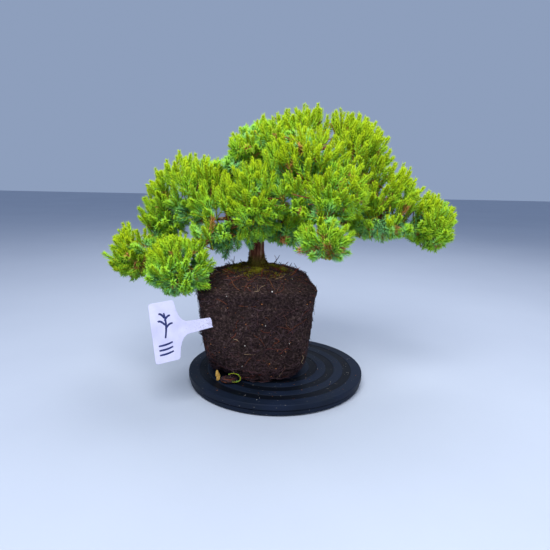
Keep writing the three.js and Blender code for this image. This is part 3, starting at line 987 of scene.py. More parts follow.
# ---- Turntable ----------------------------------------------------------------------------------


@dataclass
class Turntable:
    """The turntable's pad, base, bearing and plate, turned finely inside their CAD sizes.

    Args:
        segments: facets round the large pieces.
        edge_mm: how far the moulded edges are rounded.
        gap_mm: the clearance between two pieces.
        rim_band_mm: the raised rim band's width.
        band_mm: the width of each sunk band, and of each raised one between.
        band_depth_mm: how deep the sunk bands lie.
        band_slope_mm: how far their walls lean.
        bands: how many sunk bands there are.
        shank_mm: the bolt's radius below its head.
        ball_play_mm: the room around each ball in its track.
        cage_play_mm: the room at each edge of the cage.
        crumbs: how many crumbs lie on the plate.
    """

    segments: int = 192
    edge_mm: float = 0.9
    gap_mm: float = 0.3
    rim_band_mm: float = 12.0
    band_mm: float = 9.8
    band_depth_mm: float = 0.5
    band_slope_mm: float = 0.5
    bands: int = 4
    shank_mm: float = 3.0
    ball_play_mm: float = 0.4
    cage_play_mm: float = 0.8
    crumbs: int = 170

    def build(self) -> None:
        """Makes every piece of the turntable."""
        self.make_pad()
        self.make_base()
        self.make_bearing()
        self.make_bolt()
        self.make_plate()
        self.make_crumbs()

    def make_pad(self) -> None:
        """The foam pad: a disc with softened edges."""
        low, high = box_mm("non_slip_pad")
        corners = [(0, low[2]), (high[0], low[2]), (high[0], high[2]), (0, high[2])]
        pad = turned(rounded(corners, 0.35), self.segments).piece("foam_pad")
        dressed(pad, FOAM_RUBBER, "non_slip_pad", body=Body.BASE)

    def make_base(self) -> None:
        """The base: a flat ring with the bearing's lower track and the bolt's well."""
        low, high = box_mm("base_plate")
        washer = box_mm("bolt_washer")[1]
        well, ceiling = washer[0] + 2 * self.gap_mm, washer[2] + self.gap_mm
        bore = self.shank_mm + self.gap_mm
        corners = [(well, low[2]), (high[0], low[2]), (high[0], high[2]),
                   *self.track_mm(-1, high[2])[::-1], (bore, high[2]), (bore, ceiling), (well, ceiling),
                   (well, low[2])]
        base = turned(rounded(corners, self.edge_mm), self.segments).piece("base_moulding")
        dressed(base, TurntablePlastic(), "base_plate", body=Body.BASE)

    def track_mm(self, side: int, face: float) -> list[tuple[float, float]]:
        """The bearing's track on one side, from the inside out.

        Args:
            side: 1 on the plate and -1 on the base.
            face: the height of the flat around the track.

        Returns:
            The track's corners.
        """
        cage, ball = box_mm("ball_cage"), box_mm("bearing_ball_01")
        mid = (cage[0][2] + cage[1][2]) / 2
        race = (ball[0][0] + ball[1][0]) / 2
        half = (ball[1][2] - ball[0][2]) / 2 + self.ball_play_mm
        reach = cage[1][0] - race + self.cage_play_mm
        shelf = mid + side * ((cage[1][2] - cage[0][2]) / 2 + self.gap_mm)
        floor = mid + side * half
        return [(race - reach, face), (race - reach, shelf), (race - half, shelf), (race - half, floor),
                (race + half, floor), (race + half, shelf), (race + reach, shelf), (race + reach, face)]

    def make_bearing(self) -> None:
        """The balls as fine spheres, and the cage with its moulded edges rounded."""
        arc = np.linspace(-np.pi / 2, np.pi / 2, 13)
        for name in nodes_named("bearing_ball_"):
            low, high = box_mm(name)
            profile = (high[2] - low[2]) / 2 * around(arc)
            profile[[0, -1], 0] = 0
            ball = turned(profile, 20)
            ball.points += (low + high) / 2 * MM
            ball = ball.piece(name.replace("bearing_ball", "steel_ball"))
            dressed(ball, BEARING_STEEL, name, body=Body.CAGE)
        dressed(bevelled("ball_cage", "cage_moulding", 0.25, 40), NYLON, "ball_cage", body=Body.CAGE)

    def make_bolt(self) -> None:
        """The centre bolt, with softened edges, and its washer."""
        low, high = box_mm("centre_bolt")
        under, over = box_mm("bolt_washer")
        head_top = under[2] - self.gap_mm
        corners = [(0, low[2]), (high[0], low[2]), (high[0], head_top), (self.shank_mm, head_top),
                   (self.shank_mm, high[2]), (0, high[2])]
        dressed(turned(rounded(corners, 0.4), 64).piece("bolt_turned"), BEARING_STEEL, "centre_bolt")
        inner = self.shank_mm + self.gap_mm
        ring = [(inner, under[2]), (over[0], under[2]), (over[0], over[2]), (inner, over[2]),
                (inner, under[2])]
        dressed(turned(rounded(ring, 0.15), 64).piece("washer_stamped"), BEARING_STEEL, "bolt_washer")

    def make_plate(self) -> None:
        """The plate: sunk bands on top, a rounded rim, and the bearing's upper track below."""
        low, high = box_mm("turntable_plate")
        radius, top, bottom = high[0], high[2], low[2]
        hole, hole_top = self.shank_mm + self.gap_mm, box_mm("centre_bolt")[1][2] + self.gap_mm
        corners = [(0, hole_top), (hole, hole_top), (hole, bottom), *self.track_mm(1, bottom),
                   (radius, bottom), (radius, top)]
        floor = top - self.band_depth_mm
        for band in range(self.bands):
            outer = radius - self.rim_band_mm - 2 * self.band_mm * band
            inner = outer - self.band_mm
            corners += [(outer, top), (outer - self.band_slope_mm, floor),
                        (inner + self.band_slope_mm, floor), (inner, top)]
        corners.append((0, top))
        plate = turned(rounded(corners, self.edge_mm, 5), self.segments).piece("plate_moulding")
        dressed(plate, TurntablePlastic(top_mm=top, rim_mm=radius - self.rim_band_mm), "turntable_plate")

    def make_crumbs(self) -> None:
        """Crumbs of bark and perlite that have dropped on the plate, evenly over its area."""
        rng = np.random.default_rng(11)
        high = box_mm("turntable_plate")[1]
        radius = np.sqrt(rng.uniform(0.12, 0.9, self.crumbs)) * high[0]
        angle = rng.uniform(0, TURN, self.crumbs)
        size = rng.uniform(0.12, 0.38, self.crumbs) ** 1.25
        bands_in = (high[0] - self.rim_band_mm - radius) / self.band_mm
        sunk = (np.floor(bands_in) % 2 == 0) & (bands_in > 0) & (bands_in < 2 * self.bands)
        height = np.where(sunk, high[2] - self.band_depth_mm, high[2]) + 0.4 * size
        places = np.stack([radius * np.cos(angle), radius * np.sin(angle), height], axis=-1) * MM
        pale = rng.random(self.crumbs) < 0.3
        white = grains(places[pale], size[pale] * MM, 12, 0.7).piece("perlite_dust", smooth=False)
        dressed(white, PERLITE)
        dark = grains(places[~pale], 1.5 * size[~pale] * MM, 13, 0.6).piece("peat_crumbs", smooth=False)
        dressed(dark, BARK_CHIP)


# ---- Root ball ----------------------------------------------------------------------------------


@dataclass
class BlockMap:
    """Where the root ball's side and top surfaces lie, read from its finished mesh.

    The side is a table of the outermost radius by direction and height, and the top is a table of the
    highest point by place. Empty cells take the mean of their neighbours until none is left.

    Args:
        points: the mesh's vertices, in metres.
        directions: columns of the side's table, round the block.
        levels: its rows, up the block.
        cells: rows and columns of the top's table.
        low: the block's lowest corner.
        high: its highest corner.
        side: the side's table.
        top: the top's table.
    """

    points: np.ndarray
    directions: int = 180
    levels: int = 60
    cells: int = 90
    low: np.ndarray = field(init=False)
    high: np.ndarray = field(init=False)
    side: np.ndarray = field(init=False)
    top: np.ndarray = field(init=False)

    def __post_init__(self) -> None:
        """Fills both tables."""
        self.low, self.high = self.points.min(axis=0), self.points.max(axis=0)
        flat = self.points[:, :2] - self.middle()
        angle = np.arctan2(flat[:, 1], flat[:, 0]) / TURN % 1
        share = (self.points - self.low) / (self.high - self.low)
        radius = np.hypot(flat[:, 0], flat[:, 1])
        self.side = self.table(angle, share[:, 2], radius, self.directions, self.levels)
        self.top = self.table(share[:, 0], share[:, 1], self.points[:, 2], self.cells, self.cells)

    def middle(self) -> np.ndarray:
        """The block's middle, as x and y."""
        return (self.low[:2] + self.high[:2]) / 2

    @staticmethod
    def table(a: np.ndarray, b: np.ndarray, values: np.ndarray, rows: int, columns: int) -> np.ndarray:
        """The highest value in each cell, with gaps filled from their neighbours.

        Args:
            a: each value's place along the rows, 0 to 1.
            b: each value's place along the columns, 0 to 1.
            values: the values.
            rows: how many rows.
            columns: how many columns.

        Returns:
            The filled table.
        """
        grid = np.full((rows, columns), -1.0)
        i = np.minimum((a * rows).astype(int), rows - 1)
        j = np.minimum((b * columns).astype(int), columns - 1)
        np.maximum.at(grid, (i, j), values)
        for _ in range(30):
            gap = grid < 0
            if not gap.any():
                break
            near = np.stack([np.roll(grid, step, axis) for axis in (0, 1) for step in (1, -1)])
            known = near > 0
            mean = np.where(known, near, 0).sum(axis=0) / np.maximum(known.sum(axis=0), 1)
            grid = np.where(gap & known.any(axis=0), mean, grid)
        return grid

    def on_side(self, angle: np.ndarray, height: np.ndarray, lift_mm: np.ndarray) -> np.ndarray:
        """Points on the side surface.

        Args:
            angle: directions in radians.
            height: heights from 0 to 1.
            lift_mm: how far each point stands off the surface.

        Returns:
            Positions in metres.
        """
        a = (angle / TURN % 1) * self.directions
        i, share = np.floor(a).astype(int) % self.directions, a % 1
        j = np.clip((height * self.levels).astype(int), 0, self.levels - 1)
        ahead = self.side[(i + 1) % self.directions, j]
        radius = self.side[i, j] * (1 - share) + ahead * share + lift_mm * MM
        flat = self.middle() + radius[..., None] * around(angle)
        z = self.low[2] + height * (self.high[2] - self.low[2])
        return np.concatenate([flat, np.broadcast_to(z, radius.shape)[..., None]], axis=-1)

    def on_top(self, place: np.ndarray, lift_mm: np.ndarray) -> np.ndarray:
        """Points on the top surface.

        Args:
            place: x and y in metres along the last axis.
            lift_mm: how far each point stands off the surface.

        Returns:
            Positions in metres.
        """
        cell = (place - self.low[:2]) / (self.high[:2] - self.low[:2]) * self.cells
        cell = np.clip(cell.astype(int), 0, self.cells - 1)
        z = self.top[cell[..., 0], cell[..., 1]] + lift_mm * MM
        return np.concatenate([place, z[..., None]], axis=-1)

    def kept(self, place: np.ndarray, share: float) -> np.ndarray:
        """Places on the top, with those too far out moved in.

        Args:
            place: x and y in metres along the last axis.
            share: the share of the block's width that is kept, to each side of its middle.

        Returns:
            The places.
        """
        size = (self.high[:2] - self.low[:2]) * share
        return np.clip(place, self.middle() - size, self.middle() + size)


@dataclass
class RootBall:
    """The block of peat and roots, with its mat of fine roots, perlite, bark chips and litter.

    Args:
        voxel_mm: how finely the block is meshed.
        fine_roots: hair roots in the mat on the sides.
        stray_hairs: hairs that stand off the sides, most of them at the foot.
        main_roots: thicker roots on the sides.
        top_roots: strands on the top.
        litter: dead needles on the top.
        dead_twigs: twigs that stand out of the top.
        chips: bark chips in the surface.
        crumbs: lumps of peat in the surface.
        perlite: white grains in the surface.
        clump_fibres: roots on the clump that has dropped off.
    """

    voxel_mm: float = 1.3
    fine_roots: int = 2500
    stray_hairs: int = 520
    main_roots: int = 300
    top_roots: int = 420
    litter: int = 900
    dead_twigs: int = 44
    chips: int = 260
    crumbs: int = 6500
    perlite: int = 34
    clump_fibres: int = 40

    def build(self) -> BlockMap:
        """Makes every piece of the root ball.

        Returns:
            The map of its surface, for what lies on it.
        """
        surface = self.make_block()
        self.make_hair_roots(surface)
        self.make_stray_hairs(surface)
        self.make_main_roots(surface)
        self.make_top_roots(surface)
        self.make_litter(surface)
        self.make_dead_twigs(surface)
        self.make_grains(surface)
        self.make_clump()
        return surface

    def make_block(self) -> BlockMap:
        """The block: broad swells, ridges where roots run under the skin, and a crumb texture.

        Returns:
            The map of its surface.
        """
        block = refined("root_ball", "peat_block", self.voxel_mm, 1)
        points, normals = rows_of(block.data), rows_of(block.data, "normal")
        ridge = 1 - 2 * np.abs(noise(points * [1, 1, 0.6], 7, 5))
        relief = 0.9 * fractal(points, 15, 3, 1) + 0.5 * ridge + 0.9 * fractal(points, 3.0, 2, 9) - 0.7
        sides = np.clip(1 - normals[:, 2] * 0.5, 0.4, 1)
        raised(block, relief * sides, floor=box("root_ball")[0][2])
        dressed(block, PEAT, "root_ball")
        return BlockMap(rows_of(block.data))

    @staticmethod
    def strands(name: str, paths: np.ndarray, thick_mm: np.ndarray, taper: float, sides: int,
                tints: np.ndarray) -> None:
        """Makes a piece of many roots, each thinning evenly along its path.

        Args:
            name: the piece's name.
            paths: the roots' paths in metres.
            thick_mm: each root's radius at its start.
            taper: the share of it that is left at the end.
            sides: corners in a ring.
            tints: each root's palette column.
        """
        radii = thick_mm[:, None] * np.linspace(1, taper, paths.shape[1]) * MM
        dressed(tubes(paths, radii, sides, tints).piece(name), ROOTS)

    @staticmethod
    def side_paths(surface: BlockMap, count: int, steps: int, stride_mm: tuple[float, float],
                   wander: float, rng: np.random.Generator) -> np.ndarray:
        """Paths that wander over the sides, each at its own heading.

        Args:
            surface: the block's surface.
            count: how many paths.
            steps: points on a path.
            stride_mm: the shortest and longest distance between its points.
            wander: the spread of its turns at each point, in radians.
            rng: the source of the wandering.

        Returns:
            The paths in metres, smoothed, with two points fewer than steps.
        """
        heading = rng.normal(0, 0.6, count) + np.where(rng.random(count) < 0.45, np.pi / 2, 0)
        way = heading[:, None] + np.cumsum(rng.normal(0, wander, (count, steps)), axis=1)
        stride = rng.uniform(*stride_mm, count)[:, None]
        span = (surface.high[2] - surface.low[2]) / MM
        mean_radius = surface.side.mean() / MM
        height = rng.beta(0.9, 1.15, count)[:, None] * 0.92
        height = height + np.cumsum(np.sin(way) * stride, axis=1) / span
        angle = rng.uniform(0, TURN, count)[:, None]
        angle = angle + np.cumsum(np.cos(way) * stride, axis=1) / mean_radius
        height = np.clip(height, 0.005, 0.92)
        lift = 0.2 + 0.5 * np.sin(np.linspace(0, 1, steps) * rng.uniform(4, 14, count)[:, None])
        lift += (rng.random(count) < 0.07)[:, None] * rng.uniform(0.4, 2.2, (count, 1))
        return smoothed(surface.on_side(angle, height, lift))

    def make_hair_roots(self, surface: BlockMap) -> None:
        """The mat of hair roots, the colour of the peat or a little greyer, and a few of them red.

        Args:
            surface: the block's surface.
        """
        rng = np.random.default_rng(21)
        count = self.fine_roots
        paths = self.side_paths(surface, count, 13, (0.9, 2.2), 0.36, rng)
        thick = rng.uniform(0.13, 0.27, count)
        tints = np.clip(rng.beta(1.8, 1.9, count) * 0.74, PALETTE_SPREAD, 0.66)
        red = rng.random(count) < 0.06
        tints = np.where(red, rng.uniform(0.74, 0.86, count), tints)
        self.strands("hair_roots", paths, thick, 0.6, 3, tints)

    def make_stray_hairs(self, surface: BlockMap) -> None:
        """Hairs that bulge out of the foot in ragged loops, and a few that stand off the sides.

        A hair's lift is a half wave along it, so both of its ends are in the peat, or a quarter wave for
        those that end in the air.

        Args:
            surface: the block's surface.
        """
        rng = np.random.default_rng(29)
        count, steps = self.stray_hairs, 13
        t = np.linspace(0, 1, steps)
        loose = rng.random(count) < 0.25
        height = np.where(loose, rng.uniform(0.1, 0.9, count), rng.uniform(0.0, 0.16, count))
        slope = rng.normal(0, 0.05, count)
        angle = rng.uniform(0, TURN, (count, 1)) + np.cumsum(rng.normal(0, 0.02, (count, steps)), axis=1)
        angle += rng.uniform(-0.25, 0.25, (count, 1)) * t
        rise = np.clip(height[:, None] + slope[:, None] * t, 0.006, 0.95)
        wave = np.where(loose[:, None], np.sin(t * np.pi / 2), np.sin(t * np.pi))
        reach = np.where(loose, rng.uniform(1.5, 5.5, count), rng.uniform(0.8, 3.4, count))
        lift = wave * reach[:, None]
        thick = rng.uniform(0.13, 0.26, count)
        tints = np.where(loose, 0.2, rng.uniform(0.4, 0.66, count))
        self.strands("stray_hairs", surface.on_side(angle, rise, lift - 0.2), thick, 0.6, 4, tints)

    def make_main_roots(self, surface: BlockMap) -> None:
        """Thicker roots: most dark, some red-brown, and a few pale.

        Args:
            surface: the block's surface.
        """
        rng = np.random.default_rng(27)
        paths = self.side_paths(surface, self.main_roots, 14, (0.7, 1.6), 0.42, rng)
        thick = rng.uniform(0.18, 0.36, self.main_roots)
        tints = rng.choice([0.25, 0.45, 0.6, 0.8, 0.97], self.main_roots, p=[0.3, 0.32, 0.26, 0.09, 0.03])
        self.strands("main_roots", paths, thick, 0.45, 5, tints)

    def make_top_roots(self, surface: BlockMap) -> None:
        """Surface roots on the mound, which wander off at all headings, some standing up in loops.

        Args:
            surface: the block's surface.
        """
        rng = np.random.default_rng(22)
        count, steps, highest_mm = self.top_roots, 16, 5.5
        heading, spot = self.round_trunk(count, 8, 56, rng)
        way = heading[:, None] + rng.normal(0, 0.9, count)[:, None]
        way = way + np.cumsum(rng.normal(0, 0.3, (count, steps)), axis=1)
        stride = rng.uniform(0.5, 1.7, count)[:, None, None] * MM
        place = surface.kept(spot[:, None] + np.cumsum(around(way) * stride, axis=1), 0.46)
        arch = np.sin(np.linspace(0, np.pi, steps)) * rng.gamma(1.0, 1.0, count)[:, None]
        paths = smoothed(surface.on_top(place, np.minimum(arch, highest_mm) + 0.1))
        thick = rng.uniform(0.12, 0.3, count)
        tints = rng.choice([0.3, 0.5, 0.75, 0.88, 0.96], count, p=[0.34, 0.34, 0.14, 0.13, 0.05])
        self.strands("surface_roots", paths, thick, 0.5, 4, tints)

    @staticmethod
    def round_trunk(count: int, near_mm: float, far_mm: float,
                    rng: np.random.Generator) -> tuple[np.ndarray, np.ndarray]:
        """Random directions and places round the foot of the trunk.

        Args:
            count: how many.
            near_mm: the least distance from the middle of the trunk.
            far_mm: the greatest.
            rng: the source of both.

        Returns:
            Directions in radians, and x and y in metres.
        """
        trunk = node_rows("trunk")
        foot = trunk[trunk[:, 2] < trunk[:, 2].min() + 12 * MM].mean(axis=0)[:2]
        turn, out = rng.uniform(0, TURN, count), rng.uniform(near_mm, far_mm, count)
        return turn, foot + around(turn) * out[:, None] * MM

    def make_litter(self, surface: BlockMap) -> None:
        """Dead needles that lie on the mound, thickest near the trunk.

        Args:
            surface: the block's surface.
        """
        rng = np.random.default_rng(28)
        count = self.litter
        place = surface.kept(self.round_trunk(count, 9, 58, rng)[1], 0.47)
        roots = surface.on_top(place, rng.uniform(0.1, 0.7, count))
        ahead = np.column_stack([rng.normal(0, 1, (count, 2)), rng.normal(0.12, 0.22, count)])
        tints = rng.choice([0.3, 0.5, 0.76, 0.88], count, p=[0.36, 0.3, 0.18, 0.16])
        fallen = blades(roots, ahead, np.broadcast_to(UP, ahead.shape), rng.uniform(2.5, 6, count) * MM,
                        rng.uniform(0.6, 1.0, count) * MM, tints)
        dressed(fallen.piece("fallen_needles"), ROOTS)

    def make_dead_twigs(self, surface: BlockMap) -> None:
        """Dead twigs that stand out of the mound, lean away from the trunk and wander as they rise.

        Args:
            surface: the block's surface.
        """
        rng = np.random.default_rng(30)
        count, steps = self.dead_twigs, 10
        turn, place = self.round_trunk(count, 22, 58, rng)
        start = surface.on_top(surface.kept(place, 0.44), np.full(count, -0.6))
        heading = turn[:, None] + rng.normal(0, 0.6, (count, 1))
        heading = heading + np.cumsum(rng.normal(0, 0.3, (count, steps)), axis=1)
        rise = rng.uniform(0.15, 1.25, (count, 1))
        rise = rise + np.cumsum(rng.normal(0, 0.2, (count, steps)), axis=1)
        way = unit(np.concatenate([around(heading), rise[..., None]], axis=-1))
        stride = rng.uniform(0.7, 1.6, count)[:, None, None] * MM
        paths = start[:, None] + np.cumsum(way, axis=1) * stride
        thick = rng.uniform(0.35, 0.65, count)
        tints = rng.choice([0.3, 0.55, 0.78, 0.9], count, p=[0.35, 0.3, 0.2, 0.15])
        self.strands("dead_twigs", paths, thick, 0.5, 5, tints)

    def make_grains(self, surface: BlockMap) -> None:
        """Peat crumbs, bark chips and perlite, half sunk in the sides and the top.

        Args:
            surface: the block's surface.
        """
        rng = np.random.default_rng(23)

        def scattered(count: int) -> np.ndarray:
            """Random places, three quarters on the sides and the rest on the top.

            Args:
                count: how many places.

            Returns:
                Positions in metres.
            """
            sides = int(count * 0.75)
            side = surface.on_side(rng.uniform(0, TURN, sides), rng.uniform(0.01, 0.93, sides),
                                   rng.uniform(-0.3, 0.35, sides))
            size = (surface.high[:2] - surface.low[:2]) * 0.46
            place = surface.middle() + rng.uniform(-1, 1, (count - sides, 2)) * size
            return np.concatenate([side, surface.on_top(place, rng.uniform(0, 0.3, count - sides))])

        for name, count, smallest, largest, seed, squash, finish in (
                ("peat_lumps", self.crumbs, 0.25, 0.62, 24, 1.0, CRUMB),
                ("bark_chips", self.chips, 0.25, 0.85, 25, 0.6, BARK_CHIP),
                ("perlite", self.perlite, 0.3, 0.85, 26, 1.0, PERLITE)):
            made = grains(scattered(count), rng.uniform(smallest, largest, count) * MM, seed, squash)
            dressed(made.piece(name, smooth=False), finish)

    def make_clump(self) -> None:
        """The clump that has dropped off the front corner, with its own fibres wound round it."""
        low, high = box("soil_clump")
        clump = refined("soil_clump", "peat_clump", 0.5, 4)
        raised(clump, 0.7 * fractal(rows_of(clump.data), 3, 3, 40) - 0.4, floor=low[2])
        dressed(clump, PEAT, "soil_clump")
        rng = np.random.default_rng(41)
        count, t = self.clump_fibres, np.linspace(0, 1, 10)
        middle, half = (low + high) / 2, (high - low) / 2
        turn = rng.uniform(0, TURN, (count, 1)) + t * rng.uniform(1, 3.5, (count, 1))
        rise = rng.uniform(-0.4, 0.9, (count, 1)) + t * rng.uniform(-0.5, 0.5, (count, 1))
        ring = np.sqrt(np.clip(1 - rise**2, 0.05, 1)) * rng.uniform(0.95, 1.25, (count, 1))
        wound = [ring * np.cos(turn), ring * np.sin(turn), np.clip(rise, -0.6, 1)]
        paths = middle + np.stack(wound, axis=-1) * half
        thick = rng.uniform(0.14, 0.3, count)
        self.strands("clump_fibres", paths, thick, 1.0, 4, rng.uniform(0.05, 0.9, count))


@dataclass
class Moss:
    """Patchy moss cushions on the mound, and moss that climbs the foot of the trunk.

    Args:
        leaves: blades on each cushion.
        climbing: blades on the trunk's foot.
        length_mm: the shortest and longest blade.
        below_mm: how far the climbing moss starts below the mound's highest point.
        above_mm: how far it climbs above that point.
        fade_mm: the height over which it thins out.
    """

    leaves: int = 1700
    climbing: int = 1100
    length_mm: tuple[float, float] = (1.0, 2.7)
    below_mm: float = 4.0
    above_mm: float = 16.0
    fade_mm: float = 18.0

    def build(self, surface: BlockMap) -> None:
        """Makes the cushions, one for each CAD cushion, and the moss on the trunk.

        Args:
            surface: the root ball's surface.
        """
        for seed, node in enumerate(nodes_named("moss_")):
            rng = np.random.default_rng(50 + seed)
            low, high = box(node)
            middle, half = (low + high) / 2, (high - low) / 2
            spot = rng.normal(0, 0.52, (self.leaves, 2))
            place = middle[:2] + spot * half[:2] * 1.2
            swell = fractal(np.column_stack([place, np.zeros(len(place))]), 6.5, 2, 51)
            grown = swell > -0.32
            spot, place, swell = spot[grown], place[grown], swell[grown]
            reach = np.clip(1 - (spot**2).sum(axis=1), 0, 1)
            lift = 2.4 * np.sqrt(reach) * np.clip(0.35 + swell * 1.5, 0, 1) - 0.3
            roots = surface.on_top(place, lift)
            tints = np.clip(0.5 + 0.7 * swell + rng.normal(0, 0.22, len(place)), 0.02, 0.98)
            ahead = np.column_stack([spot * 0.6, np.ones(len(place))])
            ahead = ahead + rng.normal(0, 0.5, (len(place), 3))
            cushion = self.tufts(roots, unit(ahead), tints, rng)
            dressed(cushion.piece(node.replace("moss", "moss_cushion")), MOSS, node)
        self.make_climbing(surface)

    def tufts(self, roots: np.ndarray, ahead: np.ndarray, tints: np.ndarray,
              rng: np.random.Generator) -> Surface:
        """Blades of moss.

        Args:
            roots: where they start.
            ahead: where they point.
            tints: their palette columns.
            rng: the source of their lengths.

        Returns:
            The blades.
        """
        count = len(roots)
        length = rng.uniform(*self.length_mm, count) * MM
        face = rng.normal(0, 1, (count, 3))
        return blades(roots, ahead, face, length, 0.5 * length, tints)

    def make_climbing(self, surface: BlockMap) -> None:
        """Moss on the foot of the trunk, thinning upwards.

        Args:
            surface: the root ball's surface.
        """
        rng = np.random.default_rng(60)
        wood = rows_of(bpy.data.objects["trunk_wood"].data)
        bottom, top = surface.high[2] - self.below_mm * MM, surface.high[2] + self.above_mm * MM
        low = wood[(wood[:, 2] > bottom) & (wood[:, 2] < top)]
        chosen = low[rng.integers(0, len(low), self.climbing * 2)]
        keep = rng.random(len(chosen)) > (chosen[:, 2] - bottom) / (self.fade_mm * MM)
        chosen = chosen[keep][: self.climbing]
        middle = low.mean(axis=0)
        out = unit((chosen - middle) * [1, 1, 0])
        ahead = out + [0, 0, 0.6] + rng.normal(0, 0.3, chosen.shape)
        tints = np.clip(rng.normal(0.45, 0.25, len(chosen)), 0.02, 0.98)
        dressed(self.tufts(chosen, ahead, tints, rng).piece("trunk_moss"), MOSS)


# ---- Tree ---------------------------------------------------------------------------------------


@dataclass
class Wood:
    """A piece of wood whose bark stands in flakes, over one CAD node.

    Args:
        node: the CAD node.
        bark: its finish.
        voxel_mm: how finely it is meshed.
        relax: rounds of smoothing.
        stretch: how the flakes' pattern is scaled along x, y and z.
        flake_mm: the width of a flake of bark.
        relief_mm: how far the flakes stand out.
    """

    node: str
    bark: JuniperBark = JuniperBark(stretch=2.5)
    voxel_mm: float = 0.7
    relax: int = 6
    stretch: tuple[float, float, float] = (0.5, 0.5, 0.8)
    flake_mm: float = 2.6
    relief_mm: float = 0.3

    def build(self) -> None:
        """Makes the piece."""
        made = refined(self.node, f"{self.node}_wood", self.voxel_mm, self.relax)
        points = rows_of(made.data)
        flakes = 1 - 2 * np.abs(fractal(points * self.stretch, self.flake_mm, 2, 70))
        swell = fractal(points, 12, 2, 71)
        raised(made, self.relief_mm * (flakes - 0.4) + 0.5 * swell)
        dressed(made, self.bark, self.node)


@dataclass
class Skeleton:
    """The trunk and the limbs.

    Args:
        green_mm: how high algae climb the trunk above the root ball's solid.
    """

    green_mm: float = 14.0

    def build(self) -> None:
        """Makes every limb, and then the trunk with its longer flakes and its green foot."""
        for name in nodes_named("limb_"):
            Wood(name).build()
        bark = JuniperBark(moss_top_mm=box_mm("root_ball")[1][2] + self.green_mm)
        Wood("trunk", bark, 0.75, 8, (1, 1, 0.22), relief_mm=0.55).build()


class Exposure(Enum):
    """How a pad's shoots are coloured by facing: the mean palette column of its upward-facing and
    downward-facing shoots, partly the juniper's own yellow new and blue-green older growth, partly painted
    light on top and painted shade underneath.
    """

    CROWN = (0.83, 0.59)
    SIDE = (0.84, 0.56)
    LOW = (0.75, 0.45)
    BACK = (0.79, 0.50)


@dataclass
class Fans:
    """Fans of shoots on their way into a surface, with lengths in millimetres.

    Args:
        tips: where their leaders end.
        axis: their leaders' directions.
        height: their leaders' lengths.
        tint: their mean palette columns.
    """

    tips: np.ndarray
    axis: np.ndarray
    height: np.ndarray
    tint: np.ndarray

    def feet(self) -> np.ndarray:
        """Where the leaders start."""
        return self.tips - self.axis * self.height[:, None]


